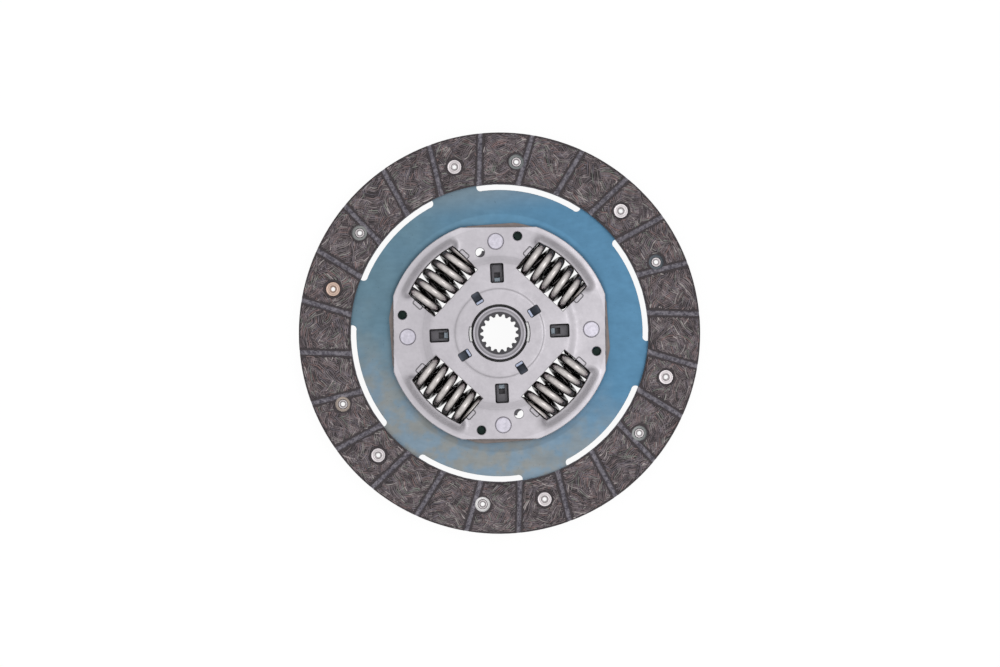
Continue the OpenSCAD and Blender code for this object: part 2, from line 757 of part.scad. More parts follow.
// Stop pin, turned from one bar, with its ends spread over both plates.
module stop_pin(n) {
    c = pin_head_chamfer;
    low = drive_z - plate_t;
    high = cover_z + plate_t;
    head_r = pin_head_d / 2;
    color("#cfcbd6") rotate(damper_angle + 90 * (n - 1)) translate([pin_circle_r, 0, 0])
        rotate_extrude() polygon([[0, low - pin_head_t], [head_r - c, low - pin_head_t],
            [head_r, low - pin_head_t + c], [head_r, low], [pin_end_r, low],
            [pin_end_r, cushion_top_z], [pin_d / 2, cushion_top_z], [pin_d / 2, cover_z],
            [pin_end_r, cover_z], [pin_end_r, high], [head_r, high],
            [head_r, high + pin_head_t - c], [head_r - c, high + pin_head_t],
            [0, high + pin_head_t]]);
}

// Height of a coil's wire at turn u. The open turns close up over half a turn, and the last
// turns lie against each other.
function coil_height(u, pitch, open, closed_pitch) =
    let (s = abs(u) - open / 2, soft = 0.5)
    s <= 0 ? u * pitch :
    sign(u) * (pitch * open / 2 + (s < soft
        ? pitch * s - (pitch - closed_pitch) * s * s / (2 * soft)
        : (pitch + closed_pitch) * soft / 2 + closed_pitch * (s - soft)));

// Coil spring along Z. The wire is swept along the helix, and both ends are ground flat.
module coil_spring(outer_r, wire, length, open, steps, sides) {
    r = outer_r - wire / 2;
    closed_pitch = closed_lead * wire;
    tip_height = length / 2 + wire / 2 - tip_share * wire;
    pitch = (tip_height - closed_pitch * (closed_turns - 0.25)) / (open / 2 + 0.25);
    slope = atan(pitch / (2 * PI * r));
    turns = open / 2 + closed_turns;
    rings = ceil(2 * turns * steps);
    points = [for (i = [0:rings], j = [0:sides - 1])
        let (u = turns * (2 * i / rings - 1), a = 360 * u + 90, b = 360 / sides * (j + 0.5),
            d = r + wire / 2 * cos(b), e = wire / 2 * sin(b),
            z = coil_height(u, pitch, open, closed_pitch) + e * cos(slope))
        [d * cos(a) + e * sin(slope) * sin(a), d * sin(a) - e * sin(slope) * cos(a),
            max(-length / 2, min(length / 2, z))]];
    skin = [for (i = [0:rings - 1], j = [0:sides - 1])
        let (p = i * sides + j, q = i * sides + (j + 1) % sides)
        each [[p, q, q + sides], [p, q + sides, p + sides]]];
    ends = [for (j = [1:sides - 2])
        each [[0, j + 1, j], [rings * sides, rings * sides + j, rings * sides + j + 1]]];
    polyhedron(points, concat(skin, ends));
}

// Puts a part that runs along Z into window n, with its front towards +Z.
module in_window(n) {
    rotate(window_angle + 90 * (n - 1)) translate([spring_circle_r, 0, spring_z])
        rotate([90, 0, 0]) children();
}

module damper_spring(n) {
    color("#4a4846") in_window(n) rotate(spring_turns[n - 1])
        coil_spring(spring_r, spring_wire, spring_length, spring_open_turns,
            spring_steps, spring_sides);
}

// The inner springs are wound the other way, so the coils can't catch in each other.
module inner_spring(n) {
    color("#3d3b3a") in_window(n) mirror([1, 0, 0]) rotate(90 - spring_turns[n - 1])
        coil_spring(inner_spring_d / 2, inner_spring_wire, spring_length,
            inner_spring_open_turns, inner_spring_steps, inner_spring_sides);
}

module friction_washer() {
    color("#3a3632") translate([0, 0, washer_z]) ring(washer_r, washer_bore_r, washer_t);
}

// Steel ring whose four bent tabs catch in the small slots of the front plate.
module support_ring() {
    color("#a9b3bf") translate([0, 0, support_z]) {
        ring(washer_r, washer_bore_r, support_t);
        four_times() rotate(small_slot_turn) translate([tab_r, -tab_w / 2, 0])
            cube([tab_t, tab_w, tab_top_z - support_z]);
    }
}

// Coned spring washer between the support ring and the raised ring of the front plate.
module diaphragm_spring() {
    high = ring_under_z - diaphragm_t;
    color("#56616b") rotate_extrude() polygon([[diaphragm_r, stack_z],
        [washer_r, high], [washer_r, ring_under_z], [diaphragm_r, stack_z + diaphragm_t]]);
}

// Moulded bush that centres the front plate on the hub. Two lugs fill the plate's notches.
module centring_bush() {
    low = centre_under_z - centre_rise;
    color("#e8e4da") difference() {
        union() {
            translate([0, 0, stack_z]) cylinder(r = bush_r, h = centre_under_z - stack_z);
            translate([0, 0, low]) linear_extrude(centre_rise + bush_lug_h) notches_2d(lug_gap);
        }
        translate([0, 0, stack_z - bush_r]) cylinder(r = hub_bush_r, h = 3 * bush_r);
    }
}

// Moulded ring behind the flange. Its collar runs in the rear plate, and its lugs pass
// through the flange.
module rear_friction_ring() {
    color("#59707c") {
        translate([0, 0, rear_ring_z]) ring(rear_ring_r, hub_bush_r, flange_z - rear_ring_z);
        translate([0, 0, rear_ring_z - plate_t]) ring(collar_r, hub_bush_r, plate_t + rear_rise);
        four_times() translate([large_slot_r + lug_gap, -lug_w / 2, rear_ring_z])
            cube([lug_l, lug_w, flange_top_z + lug_reach - rear_ring_z]);
    }
}

hub();
hub_flange();
cover_plate();
drive_plate();
cushion_disc();
facing_front();
facing_rear();
facing_rivets_front();
facing_rivets_rear();
stop_pin(1);  // stop_pin_1
stop_pin(2);  // stop_pin_2
stop_pin(3);  // stop_pin_3
stop_pin(4);  // stop_pin_4
damper_spring(1);  // damper_spring_1
damper_spring(2);  // damper_spring_2
damper_spring(3);  // damper_spring_3
damper_spring(4);  // damper_spring_4
inner_spring(1);  // inner_spring_1
inner_spring(2);  // inner_spring_2
inner_spring(3);  // inner_spring_3
inner_spring(4);  // inner_spring_4
friction_washer();
support_ring();
diaphragm_spring();
centring_bush();
rear_friction_ring();
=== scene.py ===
import math
from functools import cached_property

import bpy
import numpy as np
from mathutils import Matrix, Vector
from mathutils.geometry import delaunay_2d_cdt


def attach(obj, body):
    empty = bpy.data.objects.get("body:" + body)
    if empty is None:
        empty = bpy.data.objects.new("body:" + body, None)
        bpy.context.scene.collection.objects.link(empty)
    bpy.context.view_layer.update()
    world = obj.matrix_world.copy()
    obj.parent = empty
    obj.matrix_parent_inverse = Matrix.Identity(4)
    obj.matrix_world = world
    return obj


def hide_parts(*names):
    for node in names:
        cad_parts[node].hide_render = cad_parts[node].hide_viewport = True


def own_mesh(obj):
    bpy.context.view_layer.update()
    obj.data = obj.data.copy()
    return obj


# All lengths are in millimetres and all angles in degrees, as in the part's source.
MM = 0.001
SEED = 7

FACING_R = 107.5
FACING_BORE_R = 80.0
FRICTION_Z = 4.2
# Each groove's line passes the axis at this distance. The groove is wider near the bore.
GROOVE_COUNT = 24
GROOVE_OFFSET = 12.9
GROOVE_BEARING = 5.5 - math.degrees(math.asin(GROOVE_OFFSET / FACING_R))
GROOVE_HALF_W = (1.45, 1.2)
GROOVE_MOUTH = 2.4
FRONT_RIVET_ANGLE = 45.2
REAR_RIVET_ANGLE = 24.4
RIVET_COUNT = 6
RIVET_CIRCLE_R = 92.3
RIVET_HOLE_R = 4.1
REAR_TURN = -(FRONT_RIVET_ANGLE + REAR_RIVET_ANGLE)

DAMPER_ANGLE = 2.4
WINDOW_ANGLE = DAMPER_ANGLE + 45
PIN_CIRCLE_R = 49.0
PIN_HEAD_R = 4.22
SPRING_CIRCLE_R = 41.9
SPRING_Z = 4.225
SPRING_LENGTH = 33.8
# How each of the four springs is turned about its own axis.
SPRING_TURNS = (26, 47, -47, 62)
# Closed turns at each end, their pitch in wires, and how thick the ground tip is left.
CLOSED_TURNS = 1.25
CLOSED_LEAD = 1.03
TIP_SHARE = 0.18
# Outer radius, wire and open turns of the outer and the inner springs, and by how much their
# radius is smaller at the ends, so that they clear the windows when the hub turns.
OUTER_COIL = (11.03, 4.4, 3.6, 0.42)
INNER_COIL = (5.6, 2.4, 5.8, 0.0)
COIL_STEPS = 44
COIL_SIDES = 16

# Yarn is laid in bands of a few strands each.
YARN_W = (0.85, 1.2)
YARN_LENGTH = (7.0, 15.0)
YARN_BEND_R = (8.0, 40.0)
# Steepest angle to the facing's edge, near that edge and in the middle, and the least share of
# it that a band leans by.
YARN_LEAN = (15, 75)
LEAST_LEAN = 0.15
# By how many radians a band's direction swings, and how fast its waves go on along it.
YARN_WAVE = 0.25
YARN_WAVE_RATE = (0.3, 0.9)
YARN_BANDS = 1840
# Steps of an evenly spread sequence, across the facing and round it, and by how far it reaches
# past the facing's edges.
YARN_SPREAD = (0.7548776662, 0.5698402910)
YARN_REACH = 1.5
YARN_PER_BAND = (4, 9)
YARN_PITCH = 0.95
YARN_SWAY = 0.16
YARN_MARGIN = 0.2
# How high a band's crowns are and by how much a strand differs, how deep its ends sink in,
# how high it is arched, and what share of its width is left at its ends.
YARN_HEIGHT = (0.06, 0.26)
YARN_UNEVEN = (-0.02, 0.03)
YARN_SINK = 0.06
YARN_ARCH = 0.12
YARN_TIP_W = 0.55
# Points of a band's path. A strand loses fewer than YARN_CUT of them at each end, and one with
# fewer than YARN_LEAST_POINTS left isn't laid.
YARN_PATH_POINTS = 25
YARN_CUT = 8
YARN_LEAST_POINTS = 5
YARN_SEGMENTS = 5
# Tones of the strands: a random number from 0 to 1 picks one, blended between these.
YARN_TONES = ((0.0, (74, 66, 70)), (0.2, (94, 83, 87)), (0.4, (108, 97, 99)), (0.48, (120, 98, 97)),
              (0.55, (114, 104, 106)), (0.7, (100, 93, 101)), (0.85, (130, 120, 121)),
              (0.92, (104, 108, 102)), (1.0, (162, 152, 152)))

PLATE_T = 2.2
COVER_Z = 8.05
DRIVE_Z = -0.4
PLATE_R = 60.1
FLAT_X = 56.6
FLAT_TURN = -1.9
FLAT_HALF_ANGLE = math.degrees(math.acos(FLAT_X / PLATE_R))
COVER_HOLE_R = 15.15
NOTCH_R = 16.25
# Middle and half the span of the two notches beside the hub.
NOTCHES = ((DAMPER_ANGLE, 19.5), (DAMPER_ANGLE + 180, 14.5))
DRIVE_HOLE_R = 17.05
WINDOW_X = 31.6
WINDOW_R = 52.8
WINDOW_HALF_L = 17.0
WINDOW_LEAN = 1.4
# Pressed forms: how high they rise, and from which to which radius their slopes run.
RING_RISE = 1.6
CENTRE_RISE = 0.5
REAR_RISE = 1.0
CENTRE_STEP = (23.3, 24.1)
RING_SLOPE = (37.4, 41.1)
LIP_H = 3.8
LIP_SLOPE = (53.5, 57.3)
LIP_HALF_ANGLE = 22.7
LIP_RAMP_W = 3.2
LIP_FOOT_X = WINDOW_R - 2 * LIP_RAMP_W
# Box of a coined pad beside a window along +X: both X, then both Y.
COIN_PAD = (39.6, 45.1, 17.28, 19.48)
COIN_CORNER_R = 0.8
# Circle, radius and angle from the pins of the small holes.
GAUGE_HOLE = (52.7, 2.4, -12.9)
THROUGH_HOLE = (44.3, 2.4, 11.2)
THROUGH_EXTRA = 0.3
# Inner radius, length, width and angle from the pins of the slots in the cover.
LARGE_SLOT = (27.1, 10.0, 6.7, 0.0)
SMALL_SLOT = (18.8, 6.1, 4.4, 30.1)
SLOT_CORNER_R = 0.7
SLOT_TAPER = 0.45
EDGE_ROUND = 0.3
SHARP_ANGLE = 38
SHEET_STEP = 0.75
# Circles of points that fill a plate: from which to which radius, and how far apart.
SHEET_RINGS = ((15.6, 23.0, 0.8), (23.0, 24.6, 0.25), (24.8, 36.6, 0.8), (36.8, 42.0, 0.5),
               (42.6, 45.4, 0.8), (45.8, 60.0, 0.55))
# Distance of the points along a circle: the least, the most, how fast it grows, and the radius
# where it is least, beside the lips.
RING_STEP = (0.55, 0.8, 0.02, 52)

# Fine rings: radius, half the width, and how light. On the plates they are painted shade along the
# pressed bends; on the hub they are lathe marks, with a painted highlight on its chamfer at 13.65.
PAINTED_BEND_SHADE = ((23.7, 0.12, -0.14), (37.6, 0.1, -0.06), (40.9, 0.1, -0.06))
LATHE_AND_SHEEN_LINES = ((11.2, 0.1, -0.4), (11.85, 0.12, 0.3), (12.8, 0.3, -0.12), (13.65, 0.3, 1.2))
# Radius of the painted highlight on the side plates' rim.
PAINTED_RIM_LIGHT_R = 58.7
# Above these heights the bush's lugs are white, with painted shade below them, and the rear ring's lugs
# have a painted highlight on their tops.
BUSH_LUG_Z = 10.2
RING_LUG_Z = 6.5

HUB_REAR_Z = -7.5
FLOOR_HALF_W = 3000.0
FLOOR_GLOW = 0.94
# Tone of the floor for the light that it throws back, and where the camera sees it.
FLOOR_TONE = 0.8
FLOOR_TONE_SEEN = 0.09
# Strength of the sky at the horizon and overhead, and from which height on it is full.
SKY_LOW = 0.32
SKY_TOP = 1.02
SKY_FULL_AT = 0.65
LAMP_AT = (500.0, 50.0, 1350.0)
LAMP_SIZE = 700.0
LAMP_WATTS = 1.7
CAMERA_AT = (0.27, -0.2, 1492.0)
LENS = 100
SENSOR_W = 36


# Colours and shader nodes


def srgb(red, green, blue):
    """A colour given as 0 to 255 on screen, as the linear numbers that shaders take."""
    linear = [c / 12.92 if c <= 0.04045 else ((c + 0.055) / 1.055) ** 2.4
              for c in (red / 255, green / 255, blue / 255)]
    return (*linear, 1.0)


class Nodes:
    """A tree of shader nodes, with short ways to add to it."""

    def __init__(self, tree):
        self.tree = tree
        tree.nodes.clear()

    def add(self, kind, **settings):
        node = self.tree.nodes.new("ShaderNode" + kind)
        for key, value in settings.items():
            setattr(node, key, value)
        return node

    def put(self, socket, value):
        """Links a socket to another one, or sets it to a plain value."""
        if isinstance(value, bpy.types.NodeSocket):
            self.tree.links.new(value, socket)
        else:
            socket.default_value = value

    def math(self, operation, first, second=0.0, third=0.0):
        node = self.add("Math", operation=operation)
        for socket, value in zip(node.inputs, (first, second, third)):
            self.put(socket, value)
        return node.outputs[0]

    def times(self, value, factor, plus=0.0):
        """The value times the factor, plus a last term."""
        return self.math("MULTIPLY_ADD", value, factor, plus)

    def length(self, x, y):
        return self.math("SQRT", self.times(x, x, self.times(y, y)))

    def split(self, vector):
        node = self.add("SeparateXYZ")
        self.put(node.inputs[0], vector)
        return node.outputs

    def join(self, x, y, z):
        node = self.add("CombineXYZ")
        for socket, value in zip(node.inputs, (x, y, z)):
            self.put(socket, value)
        return node.outputs[0]

    def between(self, value, low, high, start=0.0, stop=1.0):
        """Goes smoothly from start to stop as the value goes from low to high."""
        node = self.add("MapRange", interpolation_type="SMOOTHSTEP")
        for name, number in (("Value", value), ("From Min", low), ("From Max", high),
                             ("To Min", start), ("To Max", stop)):
            self.put(node.inputs[name], number)
        return node.outputs["Result"]

    def band(self, value, middle, half_width, soft):
        """1 within half_width of the middle, going down to 0 over the soft distance."""
        away = self.math("ABSOLUTE", self.math("SUBTRACT", value, middle))
        return self.between(away, half_width, half_width + soft, 1.0, 0.0)

    def mix(self, share, first, second):
        node = self.add("Mix", data_type="RGBA")
        self.put(node.inputs[0], share)
        self.put(node.inputs[6], first)
        self.put(node.inputs[7], second)
        return node.outputs[2]

    def shade(self, color, factor):
        """The colour made lighter or darker by a factor that may be a socket."""
        node = self.add("Mix", data_type="RGBA", blend_type="MULTIPLY")
        node.inputs[0].default_value = 1.0
        self.put(node.inputs[6], color)
        self.put(node.inputs[7], self.join(factor, factor, factor))
        return node.outputs[2]


class Shader(Nodes):
    """A material and its nodes. Its lengths are in millimetres in the object's frame."""

    def __init__(self, name):
        self.material = bpy.data.materials.new(name)
        self.material.use_nodes = True
        super().__init__(self.material.node_tree)

    @cached_property
    def position(self):
        """Where the surface is."""
        scale = self.add("VectorMath", operation="SCALE")
        self.put(scale.inputs[0], self.add("TexCoord").outputs["Object"])
        scale.inputs["Scale"].default_value = 1 / MM
        return scale.outputs[0]

    @cached_property
    def parts(self):
        """X, Y and Z of the position."""
        return self.split(self.position)

    @cached_property
    def radius(self):
        """Distance from the axis."""
        return self.length(self.parts[0], self.parts[1])

    @cached_property
    def bearing(self):
        """Angle round the axis, in radians."""
        return self.math("ARCTAN2", self.parts[1], self.parts[0])

    def value_of(self, name):
        """A number that the piece carries at each of its points."""
        return self.add("Attribute", attribute_name=name).outputs["Fac"]

    def noise(self, size, detail=3.0, roughness=0.55, vector=None):
        """Noise about 0.5 whose features are about that many millimetres large."""
        node = self.add("TexNoise")
        self.put(node.inputs["Vector"], self.position if vector is None else vector)
        node.inputs["Scale"].default_value = 1 / size
        node.inputs["Detail"].default_value = detail
        node.inputs["Roughness"].default_value = roughness
        return node.outputs["Fac"]

    def mottled(self, size, low, high):
        """A factor that wanders between low and high."""
        return self.between(self.noise(size), 0.3, 0.7, low, high)

    def folded_xy(self, start, step):
        """X and Y turned back into the sector of step degrees round the start angle."""
        turned = self.math("SUBTRACT", self.bearing, math.radians(start))
        half = math.radians(step) / 2
        angle = self.math("WRAP", turned, half, -half)
        return (self.times(self.radius, self.math("COSINE", angle)),
                self.times(self.radius, self.math("SINE", angle)))

    def spot_distance(self, circle_r, start, count):
        """Distance to the nearest of a circle of spots, seen along the axis."""
        x, y = self.folded_xy(start, 360 / count)
        return self.length(self.math("SUBTRACT", x, circle_r), y)

    def bump(self, height, depth, normal=None):
        """Normals for a relief of that depth."""
        node = self.add("Bump")
        node.inputs["Distance"].default_value = depth * MM
        self.put(node.inputs["Height"], height)
        if normal is not None:
            self.put(node.inputs["Normal"], normal)
        return node.outputs["Normal"]

    def soft_edges(self, radius):
        """Normals that round every edge by a radius."""
        node = self.add("Bevel", samples=4)
        node.inputs["Radius"].default_value = radius * MM
        return node.outputs["Normal"]

    def finish(self, usual, color, metallic, roughness, normal=None, varied_roughness=None):
        """Adds the surface itself and returns the material. The usual colour stands for the
        varied one wherever materials are shown plain."""
        surface = self.add("BsdfPrincipled")
        surface.inputs["Base Color"].default_value = usual
        surface.inputs["Metallic"].default_value = metallic
        surface.inputs["Roughness"].default_value = roughness
        varied = (("Base Color", color), ("Roughness", varied_roughness), ("Normal", normal))
        for name, value in varied:
            if value is not None:
                self.put(surface.inputs[name], value)
        output = self.add("OutputMaterial")
        self.put(output.inputs["Surface"], surface.outputs[0])
        self.material.diffuse_color = usual
        return self.material


# Materials


def lining_material():
    """Resin-bonded lining: dark at the friction face, where the yarn covers it, slate in the grooves,
    with the groove walls painted near black as painted shade.
    """
    shader = Shader("lining")
    height = shader.math("ABSOLUTE", shader.parts[2])
    floor = shader.mix(shader.between(shader.noise(1.3, 5, 0.7), 0.35, 0.65),
                       srgb(84, 80, 90), srgb(158, 153, 162))
    face = shader.mix(shader.noise(0.8, 4), srgb(48, 43, 46), srgb(86, 78, 81))
    at_face = shader.between(height, FRICTION_Z - 0.4, FRICTION_Z - 0.1)
    low_wall = shader.between(height, FRICTION_Z - 0.9, FRICTION_Z - 1.0)
    # Painted shade: the groove walls are near black.
    wall = shader.mix(low_wall, srgb(34, 30, 32), floor)
    color = shader.mix(at_face, wall, face)
    bump = shader.bump(shader.noise(0.9, 5, 0.7), 0.25)
    return shader.finish(srgb(78, 70, 72), color, 0.0, 0.85, bump)


def yarn_tones(shader):
    """A tone of its own for every strand."""
    tones = shader.add("ValToRGB")
    ramp = tones.color_ramp
    while len(ramp.elements) < len(YARN_TONES):
        ramp.elements.new(0.5)
    for element, (at, color) in zip(ramp.elements, YARN_TONES):
        element.position = at
        element.color = srgb(*color)
    shader.put(tones.inputs[0], shader.add("NewGeometry").outputs["Random Per Island"])
    return tones.outputs[0]


def yarn_material():
    """Strands of ground-off yarn with a painted highlight along their crowns and painted shade where
    they sink in.
    """
    shader = Shader("yarn")
    fibre = shader.noise(0.35, 4, 0.65)
    crown = shader.value_of("crown")
    # Painted highlight on the crowns, painted shade at the strands' edges.
    crown = shader.between(crown, 0.08, 0.85, 0.08, 1.27)
    level = shader.times(crown, shader.between(fibre, 0.25, 0.75, 0.76, 1.24))
    patches = shader.mottled(3.6, 0.62, 1.3)
    color = shader.shade(yarn_tones(shader), shader.times(level, patches))
    bump = shader.bump(fibre, 0.12)
    return shader.finish(srgb(100, 91, 94), color, 0.0, 0.7, bump)


def coin_marks(shader):
    """1 on the pressed outline beside each end of a window."""
    x, y = shader.folded_xy(WINDOW_ANGLE, 90)
    x0, x1, y0, y1 = COIN_PAD
    open_side = 2.0
    away = []
    for value, low, high in ((x, x0, x1), (shader.math("ABSOLUTE", y), y0 - open_side, y1)):
        middle, half = (low + high) / 2, (high - low) / 2 - COIN_CORNER_R
        off = shader.math("ABSOLUTE", shader.math("SUBTRACT", value, middle))
        away.append(shader.math("MAXIMUM", shader.math("SUBTRACT", off, half), 0.0))
    outside = shader.math("SUBTRACT", shader.length(*away), COIN_CORNER_R)
    return shader.band(outside, 0.0, 0.14, 0.2)


def head_outlines(shader):
    """0.8 on the fine dark line of painted shade round each stop pin."""
    away = shader.spot_distance(PIN_CIRCLE_R, DAMPER_ANGLE, 4)
    return shader.times(shader.band(away, PIN_HEAD_R, 0.1, 0.2), 0.8)


def ring_lines(shader, level, lines, soft):
    """The level with fine lighter and darker rings in it."""
    for middle, half, change in lines:
        line = shader.band(shader.radius, middle, half, soft)
        level = shader.times(line, change, level)
    return level


def pressed_level(shader):
    """How light a side plate is, with a painted highlight on the rim, the outline and most openings'
    edges, and painted shade along the slots' edges.
    """
    level = shader.times(shader.mottled(14.0, 0.95, 1.04), shader.mottled(1.6, 0.97, 1.03))
    level = shader.times(shader.band(shader.radius, PAINTED_RIM_LIGHT_R, 1.3, 0.6), 0.12, level)
    # The edge values give a painted highlight along the edges and painted shade along the slots.
    edge = shader.value_of("edge")
    level = shader.times(shader.math("MAXIMUM", edge, 0.0), 0.3, level)
    return shader.times(shader.math("MINIMUM", edge, 0.0), 0.85, level)


def painted_inside_shade(shader):
    """1 on the rear plate's inside under the flange, which is darkened there as painted shade."""
    height = shader.parts[2]
    low = shader.times(shader.between(height, -1.9, -1.7), shader.between(height, 0.6, 0.4))
    return shader.times(low, shader.between(shader.radius, 40.0, 36.0))


def plate_material():
    """Satin pressed sheet with coined marks, and with painted light and shade: shade in the creases,
    round the pins, along the bends and on the rear plate's inside, light on the rim and edges.
    """
    shader = Shader("plate_steel")
    base = srgb(202, 198, 204)
    marks = shader.math("MAXIMUM", coin_marks(shader), head_outlines(shader))
    # The coined outlines and the lines round the pins are darkened: painted shade in their creases.
    level = shader.times(pressed_level(shader), shader.times(marks, -0.62, 1.0))
    # Painted shade along the pressed bends.
    level = ring_lines(shader, level, PAINTED_BEND_SHADE, 0.3)
    inside_shade = painted_inside_shade(shader)
    # Painted shade on the rear plate's inside.
    level = shader.times(level, shader.times(inside_shade, -0.75, 1.0))
    roughness = shader.between(shader.noise(4.0), 0.3, 0.7, 0.38, 0.46)
    bump = shader.bump(shader.noise(0.6, 4, 0.6), 0.015, shader.soft_edges(0.2))
    bump = shader.bump(marks, -0.15, bump)
    return shader.finish(base, shader.shade(base, level), 1.0, 0.42, bump, roughness)


def blued_tints(shader):
    """Blue to the right, teal to the left, straw and lavender low down, some straw at the top."""
    blue, teal = srgb(90, 134, 165), srgb(108, 138, 154)
    straw, lavender = srgb(148, 152, 152), srgb(134, 154, 170)
    drift = shader.times(shader.noise(26.0, 3), 60.0, -30.0)
    leftward = shader.between(shader.math("ADD", shader.parts[0], drift), 30.0, -70.0)
    downward = shader.times(shader.parts[0], 0.3, shader.parts[1])
    low = shader.between(shader.math("ADD", downward, drift), 0.0, -70.0)
    top = shader.between(shader.times(shader.parts[0], -0.1, shader.parts[1]), 62.0, 80.0)
    patches = shader.between(shader.noise(9.0, 4), 0.38, 0.62)
    tint = shader.mix(patches, straw, lavender)
    color = shader.mix(low, shader.mix(leftward, blue, teal), tint)
    return shader.mix(shader.times(top, 0.45), color, straw)


def blued_level(shader, streaks):
    """How light the cushion disc is, with painted light on the flatter zone round the plates and a
    painted shadow in a strip along the plates' outline.
    """
    radius = shader.radius
    # Painted light on the flatter zone round the plates: a painted highlight above and painted shade
    # below, as the zone takes the light another way there.
    inner = shader.between(radius, 64.6, 63.4)
    above = shader.between(shader.parts[1], 30.0, 58.0, 0.0, 0.16)
    below = shader.between(shader.parts[1], -58.0, -30.0, -0.16, 0.0)
    lens = shader.times(inner, shader.math("ADD", above, below))
    level = shader.math("ADD", shader.between(streaks, 0.25, 0.75, 0.96, 1.04), lens)
    level = shader.times(level, shader.mottled(7.0, 0.95, 1.05))
    # A painted shadow of the plates on the disc, a strip along their outline, darkest above.
    x = shader.folded_xy(DAMPER_ANGLE + FLAT_TURN, 90)[0]
    outside = shader.math("MAXIMUM", shader.math("SUBTRACT", radius, PLATE_R),
                          shader.math("SUBTRACT", x, FLAT_X))
    painted_shadow_depth = shader.between(shader.parts[1], -40.0, 40.0, 0.88, 0.6)
    return shader.times(level, shader.between(outside, 0.2, 2.6, painted_shadow_depth, 1.0))


def bare_steel(shader):
    """Unblued steel. In three of the holes round the rear rivets it is slate, straw and bright."""
    spots = shader.between(shader.noise(40.0, 1), 0.35, 0.65)
    color = shader.mix(spots, srgb(128, 133, 134), srgb(176, 178, 176))
    tints = ((0, srgb(98, 104, 110)), (180, srgb(194, 180, 170)), (240, srgb(252, 250, 250)))
    for turn, tint in tints:
        away = shader.spot_distance(RIVET_CIRCLE_R, REAR_RIVET_ANGLE + turn, 1)
        color = shader.mix(shader.between(away, 7.0, 6.0), color, tint)
    return color


def blued_material():
    """Heat-blued spring steel with a few dark specks, bare under the facings."""
    shader = Shader("blued_steel")
    stretched = shader.add("VectorMath", operation="MULTIPLY")
    shader.put(stretched.inputs[0], shader.position)
    shader.put(stretched.inputs[1], (1 / 6.0, 1 / 2.2, 1 / 5.0))
    streaks = shader.noise(1.0, 4, 0.6, stretched.outputs[0])
    color = shader.shade(blued_tints(shader), blued_level(shader, streaks))
    specks = shader.between(shader.noise(0.9, 1), 0.73, 0.78)
    color = shader.mix(shader.times(specks, 0.35), color, srgb(60, 66, 74))
    covered = shader.between(shader.radius, 80.5, 82.0)
    color = shader.mix(covered, color, bare_steel(shader))
    bump = shader.bump(streaks, 0.02, shader.soft_edges(0.25))
    return shader.finish(srgb(90, 134, 165), color, 1.0, 0.38, bump)


def hub_material():
    """Phosphated hub with turned ends: fine rings on its face with a painted highlight on the chamfer,
    darker teeth, and its side past the face painted near black as painted shade in the gap round it.
    """
    shader = Shader("hub_steel")
    radius = shader.radius
    face, teeth = srgb(158, 155, 161), srgb(122, 120, 125)
    rings = shader.noise(0.25, 3, vector=shader.join(radius, 0.0, 0.0))
    level = shader.times(shader.between(rings, 0.3, 0.7, 0.9, 1.08),
                         shader.mottled(5.0, 0.92, 1.06))
    # Lathe marks, with a painted highlight on the chamfer.
    level = ring_lines(shader, level, LATHE_AND_SHEEN_LINES, 0.12)
    past_teeth = shader.between(radius, 11.0, 11.4)
    past_face = shader.between(radius, 14.0, 14.15)
    color = shader.shade(shader.mix(past_teeth, teeth, face), level)
    # Painted shade: the hub's side past its face is near black, as the gap round it is.
    color = shader.mix(past_face, color, srgb(16, 15, 18))
    bump = shader.bump(rings, 0.02, shader.soft_edges(0.25))
    return shader.finish(face, color, 0.6, 0.4, bump)


def bush_material():
    """White moulding. Only its lugs stand in the light, so the rest is kept dark."""
    shader = Shader("bush_plastic")
    height = shader.parts[2]
    in_light = shader.between(height, BUSH_LUG_Z - 0.1, BUSH_LUG_Z + 0.1)
    color = shader.mix(in_light, srgb(16, 16, 18), srgb(250, 250, 250))
    color = shader.shade(color, shader.mottled(3.0, 0.96, 1.0))
    return shader.finish(srgb(250, 250, 250), color, 0.0, 0.5)


def ring_material():
    """Blue-grey moulding with a painted highlight, pale, on top of its lugs."""
    shader = Shader("ring_plastic")
    height = shader.parts[2]
    body = shader.mix(shader.noise(3.0), srgb(70, 86, 98), srgb(96, 112, 124))
    painted_lug_light = shader.mix(shader.noise(1.0), srgb(150, 172, 190), srgb(226, 236, 246))
    # Painted highlight on the lugs' tops.
    color = shader.mix(shader.between(height, RING_LUG_Z - 0.1, RING_LUG_Z + 0.1), body, painted_lug_light)
    bump = shader.bump(shader.noise(0.8, 4), 0.03, shader.soft_edges(0.25))
    return shader.finish(srgb(96, 114, 128), color, 0.0, 0.5, bump)


def flange_material():
    """Phosphated flange: brown-grey at its bare rim, grey inside, and painted dark green to near black
    between, as painted shade where it is seen deep down.
    """
    shader = Shader("flange_steel")
    radius = shader.radius
    rim = shader.mix(shader.noise(3.0), srgb(118, 108, 104), srgb(146, 138, 136))
    inside = shader.mix(shader.noise(2.0), srgb(100, 98, 103), srgb(120, 118, 122))
    # Painted shade: dark green to near black between the windows and the rim, where the flange is seen
    # deep through the cover's small holes.
    green = shader.mix(shader.noise(2.0), srgb(26, 36, 34), srgb(52, 66, 62))
    past_windows = shader.between(radius, 44.0, 47.0)
    at_rim = shader.between(radius, 55.4, 56.2)
    color = shader.mix(at_rim, shader.mix(past_windows, inside, green), rim)
    bump = shader.bump(shader.noise(0.7, 4, 0.6), 0.03, shader.soft_edges(0.2))
    return shader.finish(srgb(100, 96, 94), color, 1.0, 0.45, bump)


